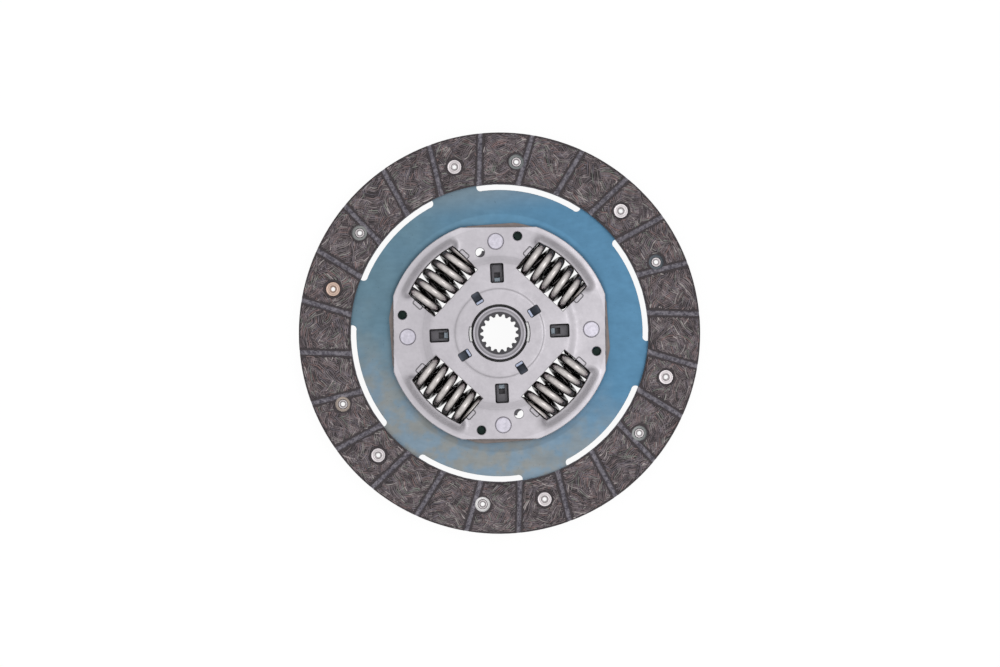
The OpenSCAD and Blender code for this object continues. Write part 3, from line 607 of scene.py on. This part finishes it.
def support_material():
    """Zinc-plated ring: a painted highlight, bright blue-grey, at the tips of its tabs, and painted
    shade, dull and dark, below.
    """
    shader = Shader("bright_steel")
    height = shader.parts[2]
    low = shader.mix(shader.noise(2.0), srgb(44, 48, 54), srgb(76, 80, 88))
    tip = shader.mix(shader.noise(1.2), srgb(150, 160, 184), srgb(202, 210, 232))
    # Painted light on what stands highest and painted shade below.
    at_tips = shader.between(height, 9.0, 11.0)
    color = shader.mix(at_tips, low, tip)
    bump = shader.bump(shader.noise(0.7, 4, 0.6), 0.02, shader.soft_edges(0.15))
    return shader.finish(srgb(150, 160, 172), color, 1.0, 0.4, bump)


def rivet_material():
    """Tubular rivets with pressed rings, darkened as painted shade in their creases. One head still has
    its copper wash.
    """
    shader = Shader("rivet_steel")
    away = shader.math("MINIMUM", *[
        shader.spot_distance(RIVET_CIRCLE_R, start, RIVET_COUNT)
        for start in (FRONT_RIVET_ANGLE, REAR_RIVET_ANGLE)])
    silver = srgb(236, 229, 231)
    copper = srgb(228, 200, 184)
    washed = shader.spot_distance(RIVET_CIRCLE_R, FRONT_RIVET_ANGLE + 120, 1)
    color = shader.mix(shader.between(washed, 5.0, 4.6), silver, copper)
    inner = shader.band(away, 1.6, 0.14, 0.3)
    outer = shader.band(away, 2.75, 0.15, 0.4)
    # Painted shade in the pressed rings.
    level = shader.times(inner, -0.5, shader.mottled(1.5, 0.92, 1.04))
    level = shader.times(outer, -0.22, level)
    rings = shader.times(outer, 0.5, inner)
    bump = shader.bump(rings, -0.12, shader.soft_edges(0.2))
    return shader.finish(silver, shader.shade(color, level), 1.0, 0.34, bump)


def plain_material(name, base, metallic, roughness, size):
    """A finish that only varies a little, with softened edges."""
    shader = Shader(name)
    color = shader.shade(base, shader.mottled(size, 0.88, 1.1))
    grain = shader.noise(size / 4, 4, 0.6)
    bump = shader.bump(grain, 0.03, shader.soft_edges(0.2))
    return shader.finish(base, color, metallic, roughness, bump)


def spring_material(name, base):
    """Oil-hardened wire with a painted highlight along the outside of each turn and painted shade, near
    black, on its sides between the turns.
    """
    shader = Shader(name)
    crest = shader.value_of("crest")
    across = shader.join(shader.times(crest, 6.0), 0.0, 0.0)
    streaks = shader.noise(0.5, 2, vector=across)
    # Painted highlight along the crest of the wire, painted shade towards its sides.
    level = shader.times(shader.between(crest, 0.35, 0.86, 0.07, 1.0),
                         shader.between(streaks, 0.3, 0.7, 0.9, 1.1))
    level = shader.times(level, shader.mottled(2.2, 0.86, 1.1))
    grain = shader.noise(0.5, 4, 0.6)
    color = shader.shade(base, level)
    return shader.finish(base, color, 1.0, 0.3, shader.bump(grain, 0.015))


def dress(nodes, material, *names):
    for name in names:
        nodes[name].data.materials.clear()
        nodes[name].data.materials.append(material)


def dress_frame(nodes):
    """Gives every CAD node its finish. Returns those of the plates and of both kinds of spring."""
    dress(nodes, lining_material(), "facing_front", "facing_rear")
    plate = plate_material()
    dress(nodes, plate, "cover_plate", "drive_plate")
    dress(nodes, blued_material(), "cushion_disc")
    dress(nodes, rivet_material(), "facing_rivets_front", "facing_rivets_rear")
    dress(nodes, hub_material(), "hub")
    pin = plain_material("pin_steel", srgb(214, 210, 222), 1.0, 0.36, 2.0)
    dress(nodes, pin, *[f"stop_pin_{n}" for n in range(1, 5)])
    dress(nodes, flange_material(), "hub_flange")
    dress(nodes, support_material(), "support_ring", "diaphragm_spring")
    washer = plain_material("washer_lining", srgb(62, 56, 52), 0.0, 0.8, 3.0)
    dress(nodes, washer, "friction_washer")
    dress(nodes, bush_material(), "centring_bush")
    dress(nodes, ring_material(), "rear_friction_ring")
    outer = spring_material("spring_steel", srgb(218, 212, 210))
    dress(nodes, outer, *[f"damper_spring_{n}" for n in range(1, 5)])
    # The inner springs get a darker copy of the wire: painted shade inside the outer springs.
    inner = spring_material("inner_spring_steel", srgb(92, 88, 88))
    dress(nodes, inner, *[f"inner_spring_{n}" for n in range(1, 5)])
    return plate, outer, inner


# Pieces


def placed(name, data, at=(0, 0, 0)):
    """A new object of the scene, at a point in millimetres."""
    made = bpy.data.objects.new(name, data)
    made.location = [c * MM for c in at]
    bpy.context.scene.collection.objects.link(made)
    return made


def mesh_object(name, points, faces, material):
    """A smoothly shaded mesh object from points in millimetres."""
    mesh = bpy.data.meshes.new(name)
    mesh.from_pydata((np.asarray(points) * MM).tolist(), [], faces)
    mesh.materials.append(material)
    mesh.shade_smooth()
    mesh.update()
    return placed(name, mesh)


def add_values(piece, name, values):
    """A number for each point of a piece, for its material to read."""
    attribute = piece.data.attributes.new(name, "FLOAT", "POINT")
    attribute.data.foreach_set("value", values)


def coil_height(turn, pitch, open_turns, closed_pitch):
    """Height of the wire at a turn. The open turns close up over half a turn."""
    soft = 0.5
    past = abs(turn) - open_turns / 2
    if past <= 0:
        return turn * pitch
    if past < soft:
        more = pitch * past - (pitch - closed_pitch) * past * past / (2 * soft)
    else:
        more = (pitch + closed_pitch) * soft / 2 + closed_pitch * (past - soft)
    return math.copysign(pitch * open_turns / 2 + more, turn)


def coil_points(outer_r, wire, open_turns, barrel):
    """Rings of points along the wire of a coil spring that stands on Z, ground flat at its ends."""
    coil_r = outer_r - wire / 2
    half = SPRING_LENGTH / 2
    closed_pitch = CLOSED_LEAD * wire
    tip_height = half + wire / 2 - TIP_SHARE * wire
    pitch = (tip_height - closed_pitch * (CLOSED_TURNS - 0.25)) / (open_turns / 2 + 0.25)
    slope = math.atan(pitch / (2 * math.pi * coil_r))
    turns = open_turns / 2 + CLOSED_TURNS
    rings = math.ceil(2 * turns * COIL_STEPS)
    points = []
    for i in range(rings + 1):
        turn = turns * (2 * i / rings - 1)
        a = math.radians(360 * turn + 90)
        middle = coil_height(turn, pitch, open_turns, closed_pitch)
        for j in range(COIL_SIDES):
            b = 2 * math.pi * j / COIL_SIDES
            out = coil_r - barrel * (middle / half) ** 2 + wire / 2 * math.cos(b)
            up = wire / 2 * math.sin(b)
            side = up * math.sin(slope)
            z = max(-half, min(half, middle + up * math.cos(slope)))
            points.append((out * math.cos(a) + side * math.sin(a),
                           out * math.sin(a) - side * math.cos(a), z))
    return points, rings


def coil_faces(rings, flipped):
    faces = []
    for i in range(rings):
        for j in range(COIL_SIDES):
            k = (j + 1) % COIL_SIDES
            face = (i * COIL_SIDES + j, i * COIL_SIDES + k,
                    (i + 1) * COIL_SIDES + k, (i + 1) * COIL_SIDES + j)
            faces.append(face if flipped else face[::-1])
    first = tuple(range(COIL_SIDES))
    last = tuple(rings * COIL_SIDES + j for j in first)
    faces.append(first[::-1] if flipped else first)
    faces.append(last if flipped else last[::-1])
    return faces


def turn_matrix(angle, axis):
    return Matrix.Rotation(math.radians(angle), 4, axis)


def spring_place(number):
    """From a spring that stands on Z at the origin to its place in a window."""
    shift = Matrix.Translation((SPRING_CIRCLE_R, 0, SPRING_Z))
    return turn_matrix(WINDOW_ANGLE + 90 * (number - 1), "Z") @ shift @ turn_matrix(90, "X")


def add_spring(kind, number, coil, own_turn, mirrored, material):
    """One finely wound spring in place of the CAD's coarser one."""
    points, rings = coil_points(*coil)
    place = spring_place(number)
    if mirrored:
        place = place @ Matrix.Scale(-1, 4, (1, 0, 0))
    place = place @ turn_matrix(own_turn, "Z")
    table = np.array(place)
    points = np.asarray(points) @ table[:3, :3].T + table[:3, 3]
    made = mesh_object(f"{kind}_coil_{number}", points, coil_faces(rings, mirrored), material)
    add_values(made, "crest", [math.cos(2 * math.pi * j / COIL_SIDES)
                               for _ in range(rings + 1) for j in range(COIL_SIDES)])
    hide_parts(f"{kind}_{number}")
    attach(made, "springs")
    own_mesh(made)


def add_springs(outer, inner):
    for number, own_turn in enumerate(SPRING_TURNS, 1):
        add_spring("damper_spring", number, OUTER_COIL, own_turn, False, outer)
        add_spring("inner_spring", number, INNER_COIL, 90 - own_turn, True, inner)


def arc(radius, start, stop, step=SHEET_STEP):
    """Points of an arc about the axis, both ends included."""
    count = max(2, math.ceil(abs(math.radians(stop - start)) * radius / step))
    turn = np.radians(np.linspace(start, stop, count + 1))
    return np.stack([radius * np.cos(turn), radius * np.sin(turn)], axis=1)


def filled_in(corners):
    """A closed outline through the corners, with points all along its sides."""
    points = []
    for first, last in zip(corners, np.roll(corners, -1, axis=0)):
        count = max(1, math.ceil(math.dist(first, last) / SHEET_STEP))
        share = np.linspace(0, 1, count, endpoint=False)[:, None]
        points.append(first + (last - first) * share)
    return np.concatenate(points)


def rotated(points, angle):
    turn = math.radians(angle)
    table = np.array([[math.cos(turn), math.sin(turn)], [-math.sin(turn), math.cos(turn)]])
    return points @ table


def rounded_box(x0, x1, half_w, corner_r):
    """Outline of a slot along +X with rounded corners."""
    centres = ((x1 - corner_r, half_w - corner_r, 0), (x0 + corner_r, half_w - corner_r, 90),
               (x0 + corner_r, corner_r - half_w, 180), (x1 - corner_r, corner_r - half_w, 270))
    corners = [arc(corner_r, start, start + 90, 0.2) + (x, y) for x, y, start in centres]
    return filled_in(np.concatenate(corners))


def plate_outline(turn):
    """Round edge of a side plate with its four flats, anticlockwise."""
    pieces = []
    for k in range(4):
        middle = DAMPER_ANGLE + turn + 90 * k
        pieces.append(arc(PLATE_R, middle + FLAT_HALF_ANGLE, middle + 90 - FLAT_HALF_ANGLE))
    return filled_in(np.concatenate(pieces))


def window_outline():
    """Outline of one spring window along +X, anticlockwise."""
    spread = math.tan(math.radians(WINDOW_LEAN))
    # A few rounds find the corner, where the leaning side meets the round one.
    half = 0.0
    for _ in range(20):
        x = math.sqrt(WINDOW_R ** 2 - half ** 2)
        half = WINDOW_HALF_L + (x - WINDOW_X) * spread
    end = math.degrees(math.asin(half / WINDOW_R))
    inner = np.array([[WINDOW_X, WINDOW_HALF_L], [WINDOW_X, -WINDOW_HALF_L]])
    return filled_in(np.concatenate([arc(WINDOW_R, -end, end), inner]))


def centre_hole():
    """The cover's middle hole with its two notches, anticlockwise."""
    (wide, wide_half), (narrow, narrow_half) = NOTCHES
    return filled_in(np.concatenate([
        arc(NOTCH_R, wide - wide_half, wide + wide_half),
        arc(COVER_HOLE_R, wide + wide_half, narrow - narrow_half),
        arc(NOTCH_R, narrow - narrow_half, narrow + narrow_half),
        arc(COVER_HOLE_R, narrow + narrow_half, wide + 360 - wide_half)]))


def round_hole(circle_r, hole_r, angle):
    return rotated(arc(hole_r, 0, 354, 0.35) + (circle_r, 0), angle)


def through_holes(extra):
    circle_r, hole_r, turn = THROUGH_HOLE
    return [(round_hole(circle_r, hole_r + extra, DAMPER_ANGLE + turn + 90 * k), 0.0, 0.0)
            for k in (1, 3)]


def cover_openings():
    """Each opening's outline, with 1 where its edge gets a painted highlight and -1 where it gets
    painted shade, and by how much it tapers."""
    openings = [(centre_hole(), 1.0, 0.0)] + through_holes(0)
    for k in range(4):
        openings.append((rotated(window_outline(), WINDOW_ANGLE + 90 * k), 1.0, 0.0))
        circle_r, hole_r, turn = GAUGE_HOLE
        openings.append((round_hole(circle_r, hole_r, DAMPER_ANGLE + turn + 90 * k), 1.0, 0.0))
        for (start, length, width, turn), taper in ((LARGE_SLOT, SLOT_TAPER), (SMALL_SLOT, 0.0)):
            slot = rounded_box(start, start + length, width / 2, SLOT_CORNER_R)
            openings.append((rotated(slot, DAMPER_ANGLE + turn + 90 * k), -1.0, taper))
    return openings


def drive_openings():
    openings = [(arc(DRIVE_HOLE_R, 0, 358), 1.0, 0.0)] + through_holes(THROUGH_EXTRA)
    for k in range(4):
        openings.append((rotated(window_outline(), WINDOW_ANGLE + 90 * k), 1.0, 0.0))
    return openings


def moved_in(loop, distance):
    """The outline moved to its left by a distance, with mitred corners."""
    ahead = np.roll(loop, -1, axis=0) - loop
    ahead /= np.maximum(np.hypot(*ahead.T), 1e-9)[:, None]
    left = np.stack([-ahead[:, 1], ahead[:, 0]], axis=1)
    before = np.roll(left, 1, axis=0)
    both = left + before
    scale = np.maximum(1 + (left * before).sum(axis=1), 0.3)
    return loop + distance * both / scale[:, None]


def soft_ramp(share):
    """Goes from 0 to 1 as the share does, with rounded corners."""
    round_off = 0.3
    start = (share + np.sqrt(share ** 2 + round_off ** 2)) / 2
    past = share - 1
    return start - (past + np.sqrt(past ** 2 + round_off ** 2)) / 2


def slope_share(value, low, high):
    return (high - value) / (high - low)


def formed_height(x, y, rise, centre):
    """Height of a side plate's pressed surface above its pin pads."""
    radius = np.hypot(x, y)
    angle = folded(np.degrees(np.arctan2(y, x)), WINDOW_ANGLE, 90)
    height = rise * soft_ramp(slope_share(radius, *RING_SLOPE))
    height += centre * soft_ramp(slope_share(radius, *CENTRE_STEP))
    from_end = radius * np.sin(np.radians(LIP_HALF_ANGLE - np.abs(angle)))
    from_foot = radius * np.cos(np.radians(angle)) - LIP_FOOT_X
    lip = soft_ramp(slope_share(radius, *LIP_SLOPE))
    lip *= soft_ramp(from_end / LIP_RAMP_W) * soft_ramp(from_foot / LIP_RAMP_W)
    return height + LIP_H * lip


def inside_loop(points, loop):
    """Which points lie inside a closed outline."""
    x, y = points[:, 0], points[:, 1]
    inside = np.zeros(len(points), bool)
    for (x0, y0), (x1, y1) in zip(loop, np.roll(loop, -1, axis=0)):
        if y0 == y1:
            continue
        crosses = (y0 > y) != (y1 > y)
        at = x0 + (y - y0) / (y1 - y0) * (x1 - x0)
        inside ^= crosses & (x < at)
    return inside


def on_sheet(points, outline, holes):
    inside = inside_loop(points, outline)
    for hole in holes:
        low, high = hole.min(axis=0), hole.max(axis=0)
        near = ((points > low) & (points < high)).all(axis=1)
        inside[near] &= ~inside_loop(points[near], hole)
    return inside


def ring_points():
    """Points all over a plate, closer together where it is stepped."""
    least, most, growth, at_lips = RING_STEP
    radii = np.concatenate([np.arange(*span) for span in SHEET_RINGS])
    rings = []
    for number, radius in enumerate(radii):
        step = min(most, least + abs(radius - at_lips) * growth)
        count = math.ceil(2 * math.pi * radius / step)
        turn = 2 * math.pi * (np.arange(count) + number % 2 / 2) / count
        rings.append(np.stack([radius * np.cos(turn), radius * np.sin(turn)], axis=1))
    return np.concatenate(rings)


def sheet_plan(outline, holes, tapers):
    """Points and triangles that fill a plate's outline, with a strip along every edge. The first
    points are those of the outline and the holes, in order. Where a hole tapers, it is smaller by
    that much at the inside of the plate."""
    loops = [outline] + [hole[::-1] for hole in holes]
    low_loops = np.concatenate([moved_in(loop, -taper) for loop, taper in zip(loops, tapers)])
    strips = [moved_in(loop, EDGE_ROUND) for loop in loops]
    field = ring_points()
    room = 0.25
    tight = moved_in(strips[0], room)
    wide = [moved_in(strip, room) for strip in strips[1:]]
    field = field[on_sheet(field, tight, wide)]
    points = np.concatenate(loops + strips + [field])
    edges = []
    first = 0
    for loop in loops + strips:
        count = len(loop)
        edges += [(first + i, first + (i + 1) % count) for i in range(count)]
        first += count
    result = delaunay_2d_cdt([Vector(p) for p in points], edges, [], 0, 1e-5)
    flat = np.array([tuple(v) for v in result[0]])
    origin = np.array([ids[0] if ids else -1 for ids in result[3]])
    triangles = np.array(result[2])
    keep = on_sheet(flat[triangles].mean(axis=1), outline, holes)
    return flat, triangles[keep], origin, [len(loop) for loop in loops], low_loops


def wall_faces(origin, counts, under, turn):
    """Faces of the walls along every edge. Under is by how much the number of a point's twin on
    the inside is higher."""
    place = {int(o): i for i, o in enumerate(origin) if 0 <= o < sum(counts)}
    faces = []
    first = 0
    for size in counts:
        for i in range(size):
            a, b = place[first + i], place[first + (i + 1) % size]
            wall = (a, a + under, b + under, b)
            faces.append(wall[::-turn])
        first += size
    return faces


def plate_mesh(plan, rise, centre, low, flipped, painted_edge_lights):
    """Points and faces of a pressed plate with the inside of its pin pads at height low, and how much
    painted edge light or shade each point gets."""
    flat, triangles, origin, counts, low_loops = plan
    height = formed_height(flat[:, 0], flat[:, 1], rise, centre)
    edge_count = sum(counts)
    at_edge = (origin >= 0) & (origin < edge_count)
    top = PLATE_T + height - EDGE_ROUND * at_edge
    under = height + EDGE_ROUND / 2 * at_edge
    under_flat = flat.copy()
    under_flat[at_edge] = low_loops[origin[at_edge]]
    count = len(flat)
    sign, turn = (-1, 1) if flipped else (1, -1)
    points = np.concatenate([np.column_stack([flat, low + sign * top]),
                             np.column_stack([under_flat, low + sign * under])])
    faces = [tuple(int(i) for i in t[::-turn]) for t in triangles]
    faces += [tuple(int(i) + count for i in t[::turn]) for t in triangles]
    faces += wall_faces(origin, counts, count, turn)
    painted_edge_light = np.zeros(edge_count + 1)
    painted_edge_light[:edge_count] = np.repeat(painted_edge_lights, counts)
    painted_edge_light = painted_edge_light[np.where(at_edge, origin, edge_count)]
    return points, faces, np.concatenate([painted_edge_light, painted_edge_light])


def add_plates(finish):
    """Both side plates as smoothly pressed sheets, in place of the CAD's sharper ones."""
    plates = (("cover", plate_outline(FLAT_TURN), cover_openings(),
               (RING_RISE, CENTRE_RISE, COVER_Z, False)),
              ("drive", plate_outline(-FLAT_TURN), drive_openings(),
               (REAR_RISE, 0.0, DRIVE_Z, True)))
    for name, outline, openings, form in plates:
        holes, painted_edge_lights, tapers = zip(*openings)
        plan = sheet_plan(outline, holes, (0.0, *tapers))
        points, faces, painted_edge_light = plate_mesh(plan, *form, (1.0, *painted_edge_lights))
        made = mesh_object(f"{name}_sheet", points, faces, finish)
        add_values(made, "edge", painted_edge_light)
        made.data.set_sharp_from_angle(angle=math.radians(SHARP_ANGLE))
        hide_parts(f"{name}_plate")
        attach(made, "disc")


def folded(angle, start, step):
    """The angle from the nearest of a circle of things."""
    return (angle - start + step / 2) % step - step / 2


def on_facing(points, margin):
    """Which points of a facing are clear of its edges, grooves and holes by the margin."""
    x, y = points[:, 0], points[:, 1]
    radius = np.hypot(x, y)
    angle = np.degrees(np.arctan2(y, x))
    clear = (radius > FACING_BORE_R + margin) & (radius < FACING_R - margin)
    lean = np.degrees(np.arcsin(GROOVE_OFFSET / np.maximum(radius, GROOVE_OFFSET + 1)))
    off_line = folded(angle - lean, GROOVE_BEARING, 360 / GROOVE_COUNT)
    level = radius * np.cos(np.radians(lean))
    half_w = np.where(radius < FACING_BORE_R + GROOVE_MOUTH, *GROOVE_HALF_W)
    clear &= np.abs(np.radians(off_line)) * level > half_w + margin
    for start in (FRONT_RIVET_ANGLE, REAR_RIVET_ANGLE):
        off = np.radians(folded(angle, start, 360 / RIVET_COUNT))
        away = np.hypot(radius * np.cos(off) - RIVET_CIRCLE_R, radius * np.sin(off))
        clear &= away > RIVET_HOLE_R + margin
    return clear


def yarn_path(rng, number):
    """The middle of one band of yarn, as evenly spaced points in the facing's plane. Bands run
    along the facing near its edges and cross over between them, as wound yarn does."""
    share, turn = [(number * step) % 1 for step in YARN_SPREAD]
    least, most = (FACING_BORE_R - YARN_REACH) ** 2, (FACING_R + YARN_REACH) ** 2
    radius = math.sqrt(least + (most - least) * share)
    bearing = 2 * math.pi * turn
    middle_r = (FACING_R + FACING_BORE_R) / 2
    inside = 1 - abs(radius - middle_r) / (FACING_R - middle_r)
    at_edge, in_middle = YARN_LEAN
    steepest = math.radians(at_edge + (in_middle - at_edge) * min(1.0, 1.6 * inside))
    heading = bearing + math.pi / 2 + rng.choice([-1, 1]) * rng.uniform(LEAST_LEAN, 1) * steepest
    length = rng.uniform(*YARN_LENGTH)
    along = np.linspace(-0.5, 0.5, YARN_PATH_POINTS) * length
    bend = rng.choice([-1, 1]) / rng.uniform(*YARN_BEND_R)
    wave = YARN_WAVE * np.sin(along * rng.uniform(*YARN_WAVE_RATE) + rng.uniform(0, 6))
    course = heading + bend * along + wave
    step = length / (YARN_PATH_POINTS - 1)
    line = np.stack([np.cumsum(np.cos(course)), np.cumsum(np.sin(course))], axis=1) * step
    middle = radius * np.array([math.cos(bearing), math.sin(bearing)])
    return line - line[YARN_PATH_POINTS // 2] + middle


def sides_of(line):
    """Unit vectors across a line of points."""
    ahead = np.gradient(line, axis=0)
    ahead /= np.maximum(np.hypot(*ahead.T), 1e-9)[:, None]
    return np.stack([-ahead[:, 1], ahead[:, 0]], axis=1)


def longest_run(clear):
    """First and last place of the longest run of True."""
    best = (0, -1)
    start = None
    for i, ok in enumerate([*clear, False]):
        if ok and start is None:
            start = i
        elif not ok and start is not None:
            if i - 1 - start > best[1] - best[0]:
                best = (start, i - 1)
            start = None
    return best


def strand(line, width, height):
    """Points of one strand, a low arch that sinks into the lining at its ends and edges, and how
    near each point is to its crown."""
    at = np.linspace(0, len(line) - 1, YARN_SEGMENTS + 1)
    whole = np.arange(len(line))
    spine = np.stack([np.interp(at, whole, line[:, i]) for i in (0, 1)], axis=1)
    across = sides_of(spine)
    share = np.linspace(0, 1, YARN_SEGMENTS + 1)
    rise = np.clip(np.sin(np.pi * share) * 3, 0, 1)
    points = []
    crowns = []
    for i, (middle, side) in enumerate(zip(spine, across)):
        half = width / 2 * (YARN_TIP_W + (1 - YARN_TIP_W) * rise[i])
        top = (height + YARN_SINK) * rise[i] - YARN_SINK
        edge = top - YARN_ARCH * rise[i]
        for offset, z in ((-1, edge), (0, top), (1, edge)):
            x, y = middle + side * half * offset
            points.append((x, y, FRICTION_Z + z))
        crowns += [0.0, rise[i], 0.0]
    return points, crowns


def strand_faces(first):
    faces = []
    for i in range(YARN_SEGMENTS):
        for j in range(2):
            a = first + 3 * i + j
            faces.append((a, a + 3, a + 4, a + 1))
    return faces


def yarn_mesh(rng):
    """Points, faces and crowns of all the strands of one facing, with its friction face up."""
    points = []
    crowns = []
    faces = []
    for number in range(YARN_BANDS):
        path = yarn_path(rng, number)
        across = sides_of(path)
        count = rng.integers(*YARN_PER_BAND)
        band_height = rng.uniform(*YARN_HEIGHT)
        for k in range(count):
            cut = rng.integers(0, YARN_CUT, size=2)
            sway = YARN_SWAY * np.sin(np.linspace(0, 5, len(path)) + rng.uniform(0, 6))
            offset = (k - count / 2) * YARN_PITCH + sway[:, None]
            line = (path + across * offset)[cut[0]:len(path) - cut[1]]
            width = rng.uniform(*YARN_W)
            start, stop = longest_run(on_facing(line, YARN_MARGIN + width / 2))
            if stop - start + 1 < YARN_LEAST_POINTS:
                continue
            height = band_height + rng.uniform(*YARN_UNEVEN)
            faces += strand_faces(len(points))
            more_points, more_crowns = strand(line[start:stop + 1], width, height)
            points += more_points
            crowns += more_crowns
    return np.array(points), faces, crowns


def add_yarn(material):
    """The wound yarn that shows in both friction faces."""
    rng = np.random.default_rng(SEED)
    over = np.array(turn_matrix(180, "X") @ turn_matrix(REAR_TURN, "Z"))[:3, :3]
    for name, turn in (("yarn_front", np.identity(3)), ("yarn_rear", over)):
        points, faces, crowns = yarn_mesh(rng)
        piece = mesh_object(name, points @ turn.T, faces, material)
        add_values(piece, "crown", crowns)
        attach(piece, "disc")


# Stage, light and camera


def add_floor():
    """A pale floor under the hub. The camera and the metal see it white, with a faint shadow."""
    shader = Shader("floor")
    path = shader.add("LightPath").outputs
    seen = shader.math("MAXIMUM", path["Is Camera Ray"],
                       shader.math("MAXIMUM", path["Is Glossy Ray"], path["Is Transmission Ray"]))
    glow = shader.add("Emission")
    shader.put(glow.inputs["Strength"], shader.times(seen, FLOOR_GLOW))
    matt = shader.add("BsdfDiffuse")
    shade = shader.times(seen, FLOOR_TONE_SEEN - FLOOR_TONE, FLOOR_TONE)
    shader.put(matt.inputs["Color"], shader.join(shade, shade, shade))
    both = shader.add("AddShader")
    shader.put(both.inputs[0], glow.outputs[0])
    shader.put(both.inputs[1], matt.outputs[0])
    output = shader.add("OutputMaterial")
    shader.put(output.inputs["Surface"], both.outputs[0])
    half, z = FLOOR_HALF_W, HUB_REAR_Z
    corners = [(-half, -half, z), (half, -half, z), (half, half, z), (-half, half, z)]
    mesh_object("floor", corners, [(0, 1, 2, 3)], shader.material)


def add_sky():
    """Soft light from all round, brightest overhead."""
    world = bpy.data.worlds.new("sky")
    bpy.context.scene.world = world
    world.use_nodes = True
    sky = Nodes(world.node_tree)
    height = sky.split(sky.add("TexCoord").outputs["Generated"])[2]
    up = sky.math("MAXIMUM", height, 0.0)
    background = sky.add("Background")
    level = sky.between(up, 0.0, SKY_FULL_AT, SKY_LOW, SKY_TOP)
    sky.put(background.inputs["Strength"], level)
    sky.put(sky.add("OutputWorld").inputs["Surface"], background.outputs[0])


def add_lamp():
    """One large lamp above the picture's right."""
    lamp = bpy.data.lights.new("key", "AREA")
    lamp.shape = "DISK"
    lamp.size = LAMP_SIZE * MM
    lamp.energy = LAMP_WATTS
    key = placed("key", lamp, LAMP_AT)
    key.rotation_euler = (-key.location).to_track_quat("-Z", "Y").to_euler()
    key.visible_camera = False


def add_camera():
    data = bpy.data.cameras.new("camera")
    data.lens = LENS
    data.sensor_width = SENSOR_W
    bpy.context.scene.camera = placed("camera", data, CAMERA_AT)


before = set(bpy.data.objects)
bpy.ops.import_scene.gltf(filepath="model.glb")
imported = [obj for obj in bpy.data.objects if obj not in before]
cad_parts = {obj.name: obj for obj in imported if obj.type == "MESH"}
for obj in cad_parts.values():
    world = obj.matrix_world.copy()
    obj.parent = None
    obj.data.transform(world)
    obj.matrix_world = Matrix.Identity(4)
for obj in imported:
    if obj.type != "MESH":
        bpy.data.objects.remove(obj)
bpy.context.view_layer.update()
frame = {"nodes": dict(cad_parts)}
bpy.context.scene.view_settings.view_transform = "Standard"
plate_steel, outer_steel, inner_steel = dress_frame(frame["nodes"])
add_plates(plate_steel)
add_springs(outer_steel, inner_steel)
add_yarn(yarn_material())
add_floor()
add_sky()
add_lamp()
add_camera()
